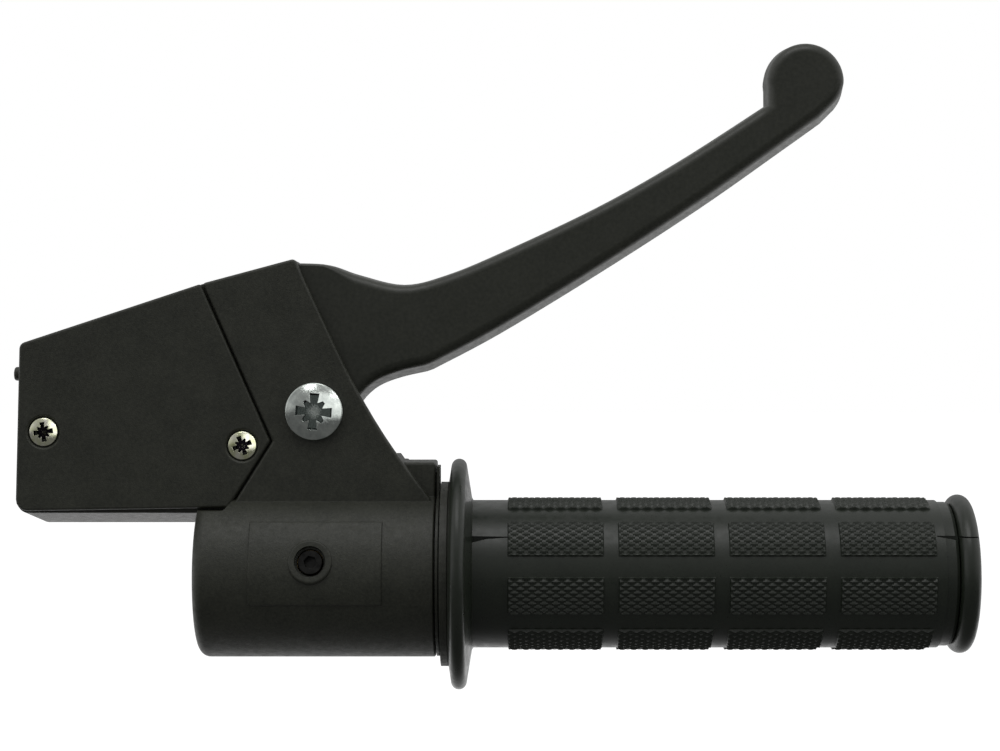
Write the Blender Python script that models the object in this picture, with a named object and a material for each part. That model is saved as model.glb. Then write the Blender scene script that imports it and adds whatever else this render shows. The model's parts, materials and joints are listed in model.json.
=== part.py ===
"""Moped throttle grip: a twist grip with a spiral throttle drive, in one clamp housing with the brake lever.

Frame: metres. X runs along the handlebar towards its free end, Z from the handlebar towards the lever and
Y away from the side that carries the cover and the screw heads. Shapes are drawn from the point where the
handlebar's axis meets the housing's inboard end face. The finished assembly then hangs on an empty that
puts the world's origin where the handlebar ends, at the inner face of the grip's closed end.
"""

import math

import bmesh
import bpy
from mathutils import Matrix, Vector

MM = 0.001
GAP = 0.3 * MM  # clearance between neighbouring pieces

# Handlebar, the size that everything else is built round
BAR_BORE_R = 11.15 * MM
TUBE_BORE_R = 11.3 * MM

# Housing barrel
BARREL_LENGTH = 51.0 * MM
BARREL_R = 17.95 * MM
BARREL_RIM_FILLET = 2.3 * MM
DRUM_BORE_R = 15.4 * MM
DRUM_BORE_START = 29.0 * MM

# Housing box: its faces, walls and outline in the XZ plane
FRONT_Y = -8.0 * MM
BACK_Y = 18.0 * MM
WALL = 2.4 * MM
BOX_TOP_LEFT = (-38.1 * MM, 49.9 * MM)
BOX_BOTTOM_LEFT = (-39.05 * MM, 10.0 * MM)
BOX_BOTTOM_FRONT_Z = 13.9 * MM
BOX_CORNER_R = 2.3 * MM
EAR_TOP = (21.3 * MM, 68.2 * MM)
EAR_FOOT = (50.2 * MM, 16.4 * MM)
BACK_EAR_INSET = 2.0 * MM
SLOT_FRONT_Y = FRONT_Y + 2.6 * MM
SLOT_BACK_Y = 8.5 * MM

# Cable cover, a plate let into the housing's front
COVER_THICKNESS = 2.2 * MM
COVER_LEFT_TOP = BOX_TOP_LEFT
COVER_SEAM_TOP = (0.75 * MM, 62.75 * MM)
COVER_SEAM_POINT = (15.75 * MM, 29.0 * MM)
COVER_SEAM_FOOT = (6.7 * MM, 14.75 * MM)
COVER_LEFT_FOOT = (-38.95 * MM, 14.0 * MM)
COVER_SCREWS = {"cover_screw_left": (-32.9 * MM, 31.0 * MM), "cover_screw_right": (9.7 * MM, 28.1 * MM)}
COVER_HEAD_R = 3.05 * MM
COVER_HEAD_SEAT = 1.0 * MM
COVER_SHANK_R = 1.25 * MM
COVER_SCREW_LENGTH = 12.0 * MM
COVER_DRIVER_REACH = 2.25 * MM
COVER_DRIVER_DEPTH = 0.8 * MM
COVER_DRIVER_TURNS = {"cover_screw_left": math.radians(8), "cover_screw_right": math.radians(21)}
POST_R = 3.4 * MM
POST_FLOOR = 4.0 * MM  # left solid below a post's screw hole

# Slider channel along the top of the barrel
CHANNEL_HALF_WIDTH = 3.9 * MM
CHANNEL_FLOOR_Z = 16.6 * MM
CHANNEL_ROOF_Z = 22.0 * MM
CHANNEL_START_X = 3.0 * MM
BLOCK_START_X = 24.0 * MM
BLOCK_BOTTOM_Z = 8.0 * MM
BLOCK_TOP_Z = 24.4 * MM
BLOCK_FRONT_Y = -5.6 * MM
BLOCK_BACK_Y = 12.0 * MM

# Cable entries through the housing's left wall
CABLE_HOLE_R = 3.2 * MM  # takes a 6 mm ferrule
BRAKE_CABLE_Z = 36.5 * MM
THROTTLE_CABLE_Z = 19.6 * MM
NOSE_R = 1.5 * MM
NOSE_Z = 43.4 * MM
NOSE_TIP_X = -40.7 * MM

# Handlebar clamp: a set screw in a threaded insert, on a radius tilted towards the lever
CLAMP_X = 25.1 * MM
CLAMP_TILT = math.radians(12.5)
CLAMP_HOLE_R = 3.3 * MM
CLAMP_NECK_R = 2.85 * MM
CLAMP_NECK_TOP = 17.2 * MM
CLAMP_BOSS_R = 4.7 * MM
CLAMP_BOSS_ROOT = 14.0 * MM  # from the handlebar's axis
PANEL_RISE = 0.35 * MM
CLAMP_BOSS_TOP = BARREL_R + PANEL_RISE + 0.35 * MM
PANEL_CENTRE_X = 26.05 * MM
PANEL_LENGTH = 28.1 * MM
PANEL_HEIGHT = 17.8 * MM
INSERT_R = 4.0 * MM
INSERT_INNER_R = BAR_BORE_R + 0.5 * MM
INSERT_TOP_R = 15.6 * MM
SET_SCREW_R = 2.5 * MM
SET_SCREW_TOP_R = 17.8 * MM
SOCKET_ACROSS_FLATS = 2.5 * MM
SOCKET_DEPTH = 2.5 * MM

# Lever pivot
PIVOT = (25.2 * MM, 35.4 * MM)
PIVOT_SCREW_R = 2.95 * MM
PIVOT_HEAD_R = 6.2 * MM
PIVOT_HEAD_HEIGHT = 2.6 * MM
PIVOT_SCREW_END_Y = 17.8 * MM
PIVOT_DRIVER_REACH = 4.2 * MM
PIVOT_DRIVER_DEPTH = 1.7 * MM
PIVOT_DRIVER_TURN = math.radians(-4)
BUSH_R = 4.6 * MM
NUT_ACROSS_FLATS = 10.0 * MM
NUT_POCKET_FLOOR_Y = 12.0 * MM
NUT_HEIGHT = 3.6 * MM
LOCK_WASHER_R = 4.8 * MM
LOCK_WASHER_THICKNESS = 1.3 * MM

# Brake lever
LEVER_Y = 1.6 * MM
LEVER_THICKNESS = 13.0 * MM
LEVER_BOSS_R = 8.5 * MM
LEVER_ROUNDING = 2.0 * MM
LEVER_DRAFT = 0.35 * MM  # how far the sides lean in from the mid-plane to either face
LEVER_LOWER_DRAFT = 1.3 * MM  # how much more the side that faces the grip leans in
KNOB_CENTRE = (131.0 * MM, 106.6 * MM)
KNOB_R = 8.66 * MM
NIPPLE_SEAT = (20.0 * MM, 56.6 * MM)
NIPPLE_SEAT_R = 3.0 * MM
NIPPLE_SEAT_FLOOR = 1.5 * MM
CABLE_SLOT_HALF_WIDTH = 1.1 * MM

# Twist drive: 85 degrees of twist moves the slider 14 mm
TWIST_RANGE = math.radians(85)
SLIDER_TRAVEL = 14.0 * MM
LEAD_PER_RADIAN = SLIDER_TRAVEL / TWIST_RANGE
DRUM_R = 15.0 * MM
DRUM_START_X = 29.4 * MM
GROOVE_FLOOR_R = 12.45 * MM
PEG_R = 2.0 * MM
PEG_X = 33.6 * MM
PEG_ANGLE = math.radians(90)  # round the bar, from -Y towards +Z
GROOVE_HALF_WIDTH = PEG_R + 0.35 * MM
PEG_SLOT_HALF_WIDTH = PEG_R + 0.6 * MM
SLIDER_TAIL = 10.5 * MM  # from the peg's axis to the slider's inboard end
THROTTLE_NIPPLE_R = 2.6 * MM
THROTTLE_SLOT_HALF_WIDTH = 0.9 * MM

# Twist tube, end washer and rubber grip, along the bar
WASHER_X = (51.3 * MM, 51.9 * MM)
WASHER_R = 17.8 * MM
WASHER_TAB_Z = 23.5 * MM
WASHER_TAB_HALF_WIDTH = 5.0 * MM
TUBE_FLANGE_X = (52.2 * MM, 53.8 * MM)
TUBE_FLANGE_R = 20.0 * MM
TUBE_R = 12.6 * MM
TUBE_END_X = 161.0 * MM
GRIP_START_X = 54.1 * MM
GRIP_END_X = 166.7 * MM
GRIP_BORE_R = TUBE_R + GAP
GRIP_R = 16.0 * MM
GRIP_FLANGE_R = 25.0 * MM
GRIP_FLANGE_THICKNESS = 4.8 * MM
GRIP_RIM_X = 56.05 * MM
GRIP_RIM_ROUNDING = 1.65 * MM
GRIP_BEAD_R = 17.2 * MM
GRIP_BEAD_WIDTH = 4.3 * MM
GRIP_END_WALL = 3.3 * MM
BAR_END_X = GRIP_END_X - GRIP_END_WALL

# Pads that stand on the grip: rows round it, columns along it
PAD_ROWS = 8
PAD_COLUMNS = 4
PAD_ROW_CENTRE = math.radians(32.5)
PAD_ARC = math.radians(28)
PAD_FIRST_X = 66.8 * MM
PAD_PITCH = 23.45 * MM
PAD_LENGTH = 20.0 * MM
PAD_HEIGHT = 0.45 * MM
PAD_SLOPE = 0.2 * MM

ROUND_STEPS = 64


# ---------------------------------------------------------------- materials and scene


def clear_scene():
    for obj in list(bpy.data.objects):
        bpy.data.objects.remove(obj)


def make_material(name, colour, roughness, metallic=0.0):
    material = bpy.data.materials.new(name)
    material.use_nodes = True
    shader = material.node_tree.nodes["Principled BSDF"]
    shader.inputs["Base Color"].default_value = (*colour, 1.0)
    shader.inputs["Roughness"].default_value = roughness
    shader.inputs["Metallic"].default_value = metallic
    return material


def black_nylon():
    return make_material("black_nylon", (0.022, 0.023, 0.022), 0.55)


def black_lever_plastic():
    return make_material("black_lever_plastic", (0.02, 0.021, 0.02), 0.45)


def black_rubber():
    return make_material("black_rubber", (0.018, 0.019, 0.018), 0.5)


def natural_acetal():
    return make_material("natural_acetal", (0.72, 0.7, 0.64), 0.4)


def zinc_plate():
    return make_material("zinc_plate", (0.66, 0.68, 0.66), 0.25, 1.0)


def yellow_zinc_plate():
    return make_material("yellow_zinc_plate", (0.72, 0.7, 0.45), 0.3, 1.0)


def black_oxide_steel():
    return make_material("black_oxide_steel", (0.05, 0.05, 0.05), 0.35, 1.0)


def brass():
    return make_material("brass", (0.72, 0.55, 0.25), 0.3, 1.0)


# ---------------------------------------------------------------- outlines


def arc_points(centre, radius, start, end, steps):
    """Points on a circle from one angle to another, both ends included."""
    return [
        (
            centre[0] + radius * math.cos(start + (end - start) * i / steps),
            centre[1] + radius * math.sin(start + (end - start) * i / steps),
        )
        for i in range(steps + 1)
    ]


def round_corners(corners, steps=4):
    """The closed outline through (x, z, radius) corners, each corner turned into an arc."""
    outline = []
    count = len(corners)
    for i, (x, z, radius) in enumerate(corners):
        here = Vector((x, z))
        if radius == 0:
            outline.append((x, z))
            continue
        before = (Vector(corners[i - 1][:2]) - here).normalized()
        after = (Vector(corners[(i + 1) % count][:2]) - here).normalized()
        half_angle = before.angle(after) / 2
        start = here + before * (radius / math.tan(half_angle))
        centre = here + (before + after).normalized() * (radius / math.sin(half_angle))
        first = start - centre
        turn = (math.pi - 2 * half_angle) * (1 if before.cross(after) < 0 else -1)
        for step in range(steps + 1):
            outline.append(tuple(centre + Matrix.Rotation(turn * step / steps, 2) @ first))
    return outline


def smooth_through(points, steps):
    """A Catmull-Rom curve through the points."""
    padded = [points[0], *points, points[-1]]
    curve = []
    for i in range(1, len(padded) - 2):
        a, b, c, d = (Vector(p) for p in padded[i - 1 : i + 3])
        for step in range(steps):
            t = step / steps
            blend = 2 * b + (c - a) * t + (2 * a - 5 * b + 4 * c - d) * t**2 + (3 * b - a - 3 * c + d) * t**3
            curve.append(tuple(blend / 2))
    curve.append(tuple(points[-1]))
    return curve


def in_mm(points):
    return [(x * MM, z * MM) for x, z in points]


# ---------------------------------------------------------------- solids


def object_from(name, mesh_builder, material=None):
    """A new object whose mesh comes from a bmesh, with its normals facing out."""
    bmesh.ops.remove_doubles(mesh_builder, verts=mesh_builder.verts, dist=1e-7)
    bmesh.ops.recalc_face_normals(mesh_builder, faces=mesh_builder.faces)
    mesh = bpy.data.meshes.new(name)
    mesh_builder.to_mesh(mesh)
    mesh_builder.free()
    obj = bpy.data.objects.new(name, mesh)
    bpy.context.scene.collection.objects.link(obj)
    if material:
        mesh.materials.append(material)
    return obj


def prism(name, outline, y_start, y_end, material=None):
    """An outline in the XZ plane, extruded along Y."""
    shape = bmesh.new()
    face = shape.faces.new([shape.verts.new((x, y_start, z)) for x, z in outline])
    extruded = bmesh.ops.extrude_face_region(shape, geom=[face])
    moved = [item for item in extruded["geom"] if isinstance(item, bmesh.types.BMVert)]
    bmesh.ops.translate(shape, verts=moved, vec=(0, y_end - y_start, 0))
    return object_from(name, shape, material)


def box(name, low, high, material=None):
    outline = [(low[0], low[2]), (high[0], low[2]), (high[0], high[2]), (low[0], high[2])]
    return prism(name, outline, low[1], high[1], material)


def turned(name, profile, material=None, steps=ROUND_STEPS):
    """A closed profile of (x, radius) points, turned round the X axis. Radius 0 stands for a flat end."""
    shape = bmesh.new()
    angles = [2 * math.pi * step / steps for step in range(steps)]
    rings = []
    for x, radius in profile:
        ring = [(x, -radius * math.cos(angle), radius * math.sin(angle)) for angle in angles if radius]
        rings.append([shape.verts.new(point) for point in ring])
    for near, far in zip(rings, rings[1:] + rings[:1]):
        if near and far:
            for i in range(steps):
                j = (i + 1) % steps
                shape.faces.new([near[i], near[j], far[j], far[i]])
        elif near or far:
            shape.faces.new(near or far)
    return object_from(name, shape, material)


def place(obj, position, direction):
    """Moves a turned solid so that its X axis starts at position and runs along direction."""
    turn = Vector((1, 0, 0)).rotation_difference(Vector(direction)).to_matrix().to_4x4()
    obj.data.transform(Matrix.Translation(position) @ turn)
    obj.data.update()
    return obj


def rod(name, radius, position, direction, length, material=None, steps=32):
    """A plain round bar from position along direction."""
    profile = [(0, 0), (length, 0), (length, radius), (0, radius)]
    return place(turned(name, profile, material, steps), position, direction)


def combine(target, others, operation):
    """Applies a Boolean of each other object to the target's mesh, and removes the other object."""
    for other in others:
        modifier = target.modifiers.new("combine", "BOOLEAN")
        modifier.operation = operation
        modifier.solver = "EXACT"
        modifier.object = other
        bpy.context.view_layer.update()
        evaluated = target.evaluated_get(bpy.context.evaluated_depsgraph_get())
        mesh = bpy.data.meshes.new_from_object(evaluated)
        target.modifiers.remove(modifier)
        target.data = mesh
        bpy.data.objects.remove(other)
    return target


def cut(target, *cutters):
    return combine(target, cutters, "DIFFERENCE")


def join(target, *others):
    return combine(target, others, "UNION")


def shade_round(obj, angle=math.radians(35)):
    obj.data.shade_smooth()
    obj.data.set_sharp_from_angle(angle=angle)


def set_origin(obj, point):
    """Puts the object's origin on a joint's axis without moving its shape."""
    obj.data.transform(Matrix.Translation(-Vector(point)))
    obj.location = point


# ---------------------------------------------------------------- cable cover


def cover_outline():
    corners = [
        (*COVER_LEFT_TOP, 1.5 * MM),
        (*COVER_LEFT_FOOT, 2.4 * MM),
        (*COVER_SEAM_FOOT, 0.8 * MM),
        (*COVER_SEAM_POINT, 0),
        (*COVER_SEAM_TOP, 0.6 * MM),
    ]
    return round_corners(corners)


def make_cable_cover(material):
    underside = FRONT_Y + COVER_THICKNESS
    cover = prism("cable_cover", cover_outline(), FRONT_Y, underside, material)
    for x, z in COVER_SCREWS.values():
        start = Vector((x, FRONT_Y - MM, z))
        head_seat = rod("cutter", COVER_HEAD_R + 0.35 * MM, start, (0, 1, 0), MM + COVER_HEAD_SEAT)
        screw_hole = rod("cutter", COVER_SHANK_R + GAP, start, (0, 1, 0), 2 * COVER_THICKNESS)
        cut(cover, head_seat, screw_hole)
    shade_round(cover)
    return cover


# ---------------------------------------------------------------- housing


def ear_edge(inset=0.0):
    """The housing's long slanted edge on the lever's side, from its top corner to the barrel."""
    corners = in_mm([(22.4, 64.8), (31.3, 45.8), (36.3, 36.4), (42.25, 27.0)])
    edge = smooth_through([*corners, EAR_FOOT], 3)
    return [(x - inset, z) for x, z in edge]


def box_outline():
    """Outline of the box, clockwise from its top corner on the lever's side."""
    left_side = round_corners([
        (*COVER_SEAM_TOP, 0),
        (*BOX_TOP_LEFT, 1.8 * MM),
        (*BOX_BOTTOM_LEFT, 0),
        (EAR_FOOT[0], BOX_BOTTOM_LEFT[1], 0),
    ])
    corner_centre = (EAR_TOP[0] - 0.9 * MM, EAR_TOP[1] - 1.2 * MM)
    top_corner = arc_points(corner_centre, MM, math.radians(25), math.radians(105), 3)
    return list(reversed(ear_edge())) + top_corner + left_side


def left_wall_normal():
    """Outwards from the box's left wall, which leans a little."""
    wall = Vector(BOX_TOP_LEFT) - Vector(BOX_BOTTOM_LEFT)
    return Vector((-wall.y, 0, wall.x)).normalized()


def cover_recess():
    """The space that the cover is let into, open to the left, top and bottom of the box."""
    beyond = 20 * MM
    seam_gap = 1.3 * GAP
    seam_run = Vector(COVER_SEAM_TOP) - Vector(COVER_SEAM_POINT)
    seam_above = Vector(COVER_SEAM_TOP) + seam_run * 0.3
    foot_z = COVER_SEAM_FOOT[1] - GAP
    outline = [
        (BOX_TOP_LEFT[0] - beyond, foot_z - beyond),
        (-0.5 * MM, foot_z - beyond),
        (-0.5 * MM, foot_z),
        (COVER_SEAM_FOOT[0] + seam_gap, foot_z),
        (COVER_SEAM_POINT[0] + seam_gap, COVER_SEAM_POINT[1]),
        (seam_above.x + seam_gap, seam_above.y),
        (BOX_TOP_LEFT[0] - beyond, seam_above.y),
    ]
    return prism("cutter", outline, -2 * BARREL_R, FRONT_Y + COVER_THICKNESS + GAP)


def cable_compartment():
    """The hollow behind the cover. It opens into the lever's slot."""
    outline = in_mm([(-35.8, 16.5), (6.0, 16.5), (14.2, 29.6), (1.0, 59.7), (-35.8, 47.5)])
    return prism("cutter", outline, FRONT_Y + MM, BACK_Y - WALL)


def lever_slot():
    """The space between the two ears, open on the slanted side and above the lever."""
    outline = in_mm([(-4.0, 26.0), (70.0, 26.0), (70.0, 80.0), (20.6, 80.0), (20.6, 65.3), (-4.0, 58.2)])
    return prism("cutter", outline, SLOT_FRONT_Y, SLOT_BACK_Y)


def back_ear_relief():
    """Sets the rear ear's slanted edge back from the front one's."""
    beyond = 30 * MM
    edge = [(x, z) for x, z in ear_edge(BACK_EAR_INSET) if z > BLOCK_TOP_Z]
    outline = [(edge[0][0], EAR_TOP[1] + MM), *edge, (edge[-1][0] + MM, BLOCK_TOP_Z)]
    outline += [(EAR_FOOT[0] + beyond, BLOCK_TOP_Z), (EAR_FOOT[0] + beyond, EAR_TOP[1] + MM)]
    return prism("cutter", outline, SLOT_BACK_Y - MM, BACK_Y + MM)


def slider_channel():
    channel = box(
        "cutter",
        (CHANNEL_START_X, -CHANNEL_HALF_WIDTH, CHANNEL_FLOOR_Z),
        (BARREL_LENGTH + MM, CHANNEL_HALF_WIDTH, CHANNEL_ROOF_Z),
    )
    peg_slot = box(
        "cutter",
        (DRUM_BORE_START, -PEG_SLOT_HALF_WIDTH, GROOVE_FLOOR_R),
        (BARREL_LENGTH + MM, PEG_SLOT_HALF_WIDTH, CHANNEL_FLOOR_Z + 0.5 * MM),
    )
    return channel, peg_slot


def bottom_slope():
    """Slopes the box's underside, which lies lower at the back than along the cover."""
    fall = (BOX_BOTTOM_FRONT_Z - BOX_BOTTOM_LEFT[1]) / (BACK_Y - FRONT_Y)
    front_z = BOX_BOTTOM_FRONT_Z + fall * MM
    back_z = BOX_BOTTOM_LEFT[1] - fall * MM
    section = [(FRONT_Y - MM, front_z), (BACK_Y + MM, back_z), (BACK_Y + MM, 0), (FRONT_Y - MM, 0)]
    start_x = BOX_BOTTOM_LEFT[0] - MM
    cutter = bmesh.new()
    face = cutter.faces.new([cutter.verts.new((start_x, y, z)) for y, z in section])
    extruded = bmesh.ops.extrude_face_region(cutter, geom=[face])
    moved = [item for item in extruded["geom"] if isinstance(item, bmesh.types.BMVert)]
    bmesh.ops.translate(cutter, verts=moved, vec=(EAR_FOOT[0] + MM - start_x, 0, 0))
    return object_from("cutter", cutter)


def round_lower_corner(body, segments=4):
    """Rounds the edge between the box's left wall and its underside."""
    shape = bmesh.new()
    shape.from_mesh(body.data)
    left_of = BOX_BOTTOM_LEFT[0] + MM
    below = BOX_BOTTOM_FRONT_Z + 2 * MM
    corner = [
        edge
        for edge in shape.edges
        if all(vertex.co.x < left_of and vertex.co.z < below for vertex in edge.verts)
        and abs(edge.verts[0].co.y - edge.verts[1].co.y) > WALL
    ]
    bmesh.ops.bevel(shape, geom=corner, offset=BOX_CORNER_R, segments=segments, profile=0.5, affect="EDGES")
    shape.to_mesh(body.data)
    shape.free()
    return body


def clamp_direction():
    """Outwards along the set screw, from the handlebar's axis."""
    return Vector((0, -math.cos(CLAMP_TILT), math.sin(CLAMP_TILT)))


def clamp_point(radius):
    return Vector((CLAMP_X, 0, 0)) + clamp_direction() * radius


def clamp_panel():
    """A curved pad round the set screw's boss, slightly proud of the barrel."""
    half = PANEL_LENGTH / 2
    side = PANEL_HEIGHT / 2
    start = PANEL_CENTRE_X - half
    panel = box("panel", (start, -2 * BARREL_R, -side), (start + PANEL_LENGTH, -8 * MM, side))
    panel.data.transform(Matrix.Rotation(-CLAMP_TILT, 4, "X"))
    top_r = BARREL_R + PANEL_RISE
    ends = (-MM, BARREL_LENGTH + MM)
    outer_wall = [(ends[0], top_r), (ends[0], 3 * BARREL_R), (ends[1], 3 * BARREL_R), (ends[1], top_r)]
    return cut(panel, turned("outside", outer_wall))


def barrel_bores():
    """The handlebar's bore and, outboard of it, the wider one for the twist drum."""
    step_x = DRUM_BORE_START
    end_x = BARREL_LENGTH + MM
    wall = [(-MM, BAR_BORE_R), (step_x, BAR_BORE_R), (step_x, DRUM_BORE_R), (end_x, DRUM_BORE_R)]
    return turned("cutter", [(-MM, 0), *wall, (end_x, 0)])


def clamp_bores():
    """The set screw's hole, narrower below its mouth, and the pocket for the threaded insert under it."""
    start_r = 8 * MM
    pocket = INSERT_TOP_R + GAP - start_r
    neck = CLAMP_NECK_TOP - start_r
    end = BARREL_R + 3 * MM - start_r
    insert_wall = [(0, INSERT_R + GAP), (pocket, INSERT_R + GAP)]
    screw_wall = [(pocket, CLAMP_NECK_R), (neck, CLAMP_NECK_R), (neck, CLAMP_HOLE_R), (end, CLAMP_HOLE_R)]
    cutter = turned("cutter", [(0, 0), *insert_wall, *screw_wall, (end, 0)], steps=48)
    return place(cutter, clamp_point(start_r), clamp_direction())


def hexagon(across_flats, centre):
    corner_r = across_flats / math.sqrt(3)
    return arc_points(centre, corner_r, 0, 2 * math.pi, 6)[:-1]


def make_housing(material):
    fillet = BARREL_RIM_FILLET
    rim = [
        (fillet - fillet * math.cos(a), BARREL_R - fillet + fillet * math.sin(a))
        for a in (0, math.pi / 6, math.pi / 3, math.pi / 2)
    ]
    barrel = turned("housing", [(0, 0), *rim, (BARREL_LENGTH, BARREL_R), (BARREL_LENGTH, 0)], material)
    body = cut(prism("box", box_outline(), FRONT_Y, BACK_Y), bottom_slope(), back_ear_relief())
    round_lower_corner(body)
    block_low = (BLOCK_START_X, BLOCK_FRONT_Y, BLOCK_BOTTOM_Z)
    block = box("block", block_low, (BARREL_LENGTH, BLOCK_BACK_Y, BLOCK_TOP_Z))
    nose_start = BOX_TOP_LEFT[0] + MM
    nose_length = nose_start - NOSE_TIP_X
    nose = rod("nose", NOSE_R, (nose_start, 0, NOSE_Z), left_wall_normal(), nose_length, steps=16)
    housing = join(barrel, body, block, nose, clamp_panel())
    cut(housing, cover_recess(), cable_compartment(), lever_slot(), *slider_channel())
    for x, z in COVER_SCREWS.values():
        post_start = FRONT_Y + COVER_THICKNESS + GAP
        length = BACK_Y - WALL + 0.5 * MM - post_start
        post = rod("post", POST_R, (x, post_start, z), (0, 1, 0), length)
        join(housing, post)
        hole_start = (x, post_start - MM, z)
        cut(housing, rod("cutter", COVER_SHANK_R + GAP, hole_start, (0, 1, 0), length - POST_FLOOR, steps=24))
    boss_height = CLAMP_BOSS_TOP - CLAMP_BOSS_ROOT
    join(housing, rod("boss", CLAMP_BOSS_R, clamp_point(CLAMP_BOSS_ROOT), clamp_direction(), boss_height))
    cut(housing, barrel_bores(), clamp_bores())
    for y, z in ((LEVER_Y, BRAKE_CABLE_Z), (0, THROTTLE_CABLE_Z)):
        hole_start = (BOX_BOTTOM_LEFT[0] - MM, y, z)
        cut(housing, rod("cutter", CABLE_HOLE_R, hole_start, (1, 0, 0), 6 * MM, steps=24))
    pivot_hole = rod("cutter", PIVOT_SCREW_R + GAP, (PIVOT[0], FRONT_Y - MM, PIVOT[1]), (0, 1, 0), 30 * MM)
    nut_pocket = prism("cutter", hexagon(NUT_ACROSS_FLATS + 2 * GAP, PIVOT), NUT_POCKET_FLOOR_Y, BACK_Y + MM)
    cut(housing, pivot_hole, nut_pocket)
    shade_round(housing)
    return housing


# ---------------------------------------------------------------- brake lever and its pivot


def lever_outline():
    finger_side = smooth_through(
        in_mm([
            (21.1, 67.5), (28.0, 67.1), (34.4, 65.0), (44.0, 62.9), (53.2, 65.0),
            (64.9, 69.8), (85.9, 79.7), (104.0, 89.9), (122.5, 101.8),
        ]),
        3,
    )
    knob = arc_points(KNOB_CENTRE, KNOB_R, math.radians(188), math.radians(-40), 20)
    grip_side = smooth_through(
        in_mm([(134.6, 98.0), (126.2, 92.0), (108.5, 79.55), (86.7, 65.45), (64.9, 52.2), (50.4, 44.5)]),
        3,
    )
    throat = smooth_through(in_mm([(49.0, 44.0), (43.5, 42.75), (38.9, 41.0), (35.8, 38.5), (33.9, 35.6)]), 3)
    boss = arc_points(PIVOT, LEVER_BOSS_R, math.radians(-15), math.radians(-190), 12)
    cable_arm = in_mm([(15.3, 48.5), (14.6, 56.0), (15.6, 60.8), (21.0, 64.2)])
    return finger_side + knob + grip_side + throat + boss + cable_arm


def inward_steps(outline):
    """For each corner, the step that moves its two edges inwards by 1."""
    points = [Vector(point) for point in outline]
    following = points[1:] + points[:1]
    side = 1 if sum(a.cross(b) for a, b in zip(points, following)) > 0 else -1
    steps = []
    for i, point in enumerate(points):
        arriving = (point - points[i - 1]).normalized()
        leaving = (following[i] - point).normalized()
        inward = Vector((-arriving.y - leaving.y, arriving.x + leaving.x)) * side
        steps.append(inward.normalized() / max(0.6, inward.length / 2))
    return steps


def rim_share(x):
    """Full rounding on the blade and knob, less on the part that stays inside the housing."""
    return min(1.0, max(0.3, (x - 24 * MM) / (10 * MM)))


def lean_in(inward, depth_share):
    """How much further than its upper side the lever's lower side leans in at this depth."""
    down = max(0.0, inward.normalized().y)
    return LEVER_LOWER_DRAFT * down * abs(2 * depth_share - 1)


def round_rimmed(name, outline, y_start, y_end, rim, material=None):
    """A plate along Y. The rim gives its cross-section's edge as (share of thickness, inset) points."""
    shape = bmesh.new()
    inward = inward_steps(outline)
    rings = []
    for depth_share, inset in rim:
        y = y_start + (y_end - y_start) * depth_share
        ring = []
        for (x, z), step in zip(outline, inward):
            move = step * ((inset + lean_in(step, depth_share)) * rim_share(x))
            ring.append(shape.verts.new((x + move.x, y, z + move.y)))
        rings.append(ring)
    count = len(outline)
    for near, far in zip(rings, rings[1:]):
        for i in range(count):
            j = (i + 1) % count
            shape.faces.new([near[i], near[j], far[j], far[i]])
    shape.faces.new(rings[0])
    shape.faces.new(rings[-1])
    return object_from(name, shape, material)


def drafted_rim(steps):
    """A rim with rounded edges, whose sides lean in from the lever's mid-plane to both faces."""
    angles = [math.pi / 2 * i / steps for i in range(steps + 1)]
    share = LEVER_ROUNDING / LEVER_THICKNESS
    front = [(share * (1 - math.cos(a)), LEVER_DRAFT + LEVER_ROUNDING * (1 - math.sin(a))) for a in angles]
    back = [(1 - depth_share, inset) for depth_share, inset in reversed(front)]
    return [*front, (0.5, 0.0), *back]


def make_brake_lever(material):
    front = LEVER_Y - LEVER_THICKNESS / 2
    back = LEVER_Y + LEVER_THICKNESS / 2
    lever = round_rimmed("brake_lever", lever_outline(), front, back, drafted_rim(3), material)
    bore = rod("cutter", BUSH_R + GAP, (PIVOT[0], front - MM, PIVOT[1]), (0, 1, 0), LEVER_THICKNESS + 2 * MM)
    seat_start = (NIPPLE_SEAT[0], front - MM, NIPPLE_SEAT[1])
    seat = rod("cutter", NIPPLE_SEAT_R, seat_start, (0, 1, 0), LEVER_THICKNESS - NIPPLE_SEAT_FLOOR)
    slot_end = (NIPPLE_SEAT[0], LEVER_Y + CABLE_SLOT_HALF_WIDTH, NIPPLE_SEAT[1] + CABLE_SLOT_HALF_WIDTH)
    slot_x = NIPPLE_SEAT[0] - 9 * MM
    cable_slot = box("cutter", (slot_x, LEVER_Y - CABLE_SLOT_HALF_WIDTH, NIPPLE_SEAT[1] - 4.5 * MM), slot_end)
    entry_slot = box("cutter", (slot_x, front - MM, NIPPLE_SEAT[1] - CABLE_SLOT_HALF_WIDTH), slot_end)
    cut(lever, bore, seat, cable_slot, entry_slot)
    shade_round(lever)
    set_origin(lever, (PIVOT[0], 0, PIVOT[1]))
    return lever


def driver_star(centre, reach, turn):
    """Outline of a cross-head recess: four wide arms with four thin ribs between them."""
    outline = []
    for arm in range(8):
        angle = math.radians(45 * arm) + turn
        share, half_width = (1.0, 0.27) if arm % 2 == 0 else (0.76, 0.08)
        along = Vector((math.cos(angle), math.sin(angle))) * reach
        across = Vector((-math.sin(angle), math.cos(angle))) * reach
        outline.append(Vector(centre) + along * share - across * half_width)
        outline.append(Vector(centre) + along * share + across * half_width)
        notch = angle + math.radians(22.5)
        outline.append(Vector(centre) + Vector((math.cos(notch), math.sin(notch))) * 0.5 * reach)
    return outline


def cut_driver_recess(screw, centre, top_y, reach, depth, turn):
    cut(screw, prism("cutter", driver_star(centre, reach, turn), top_y - depth, top_y + depth))


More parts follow.
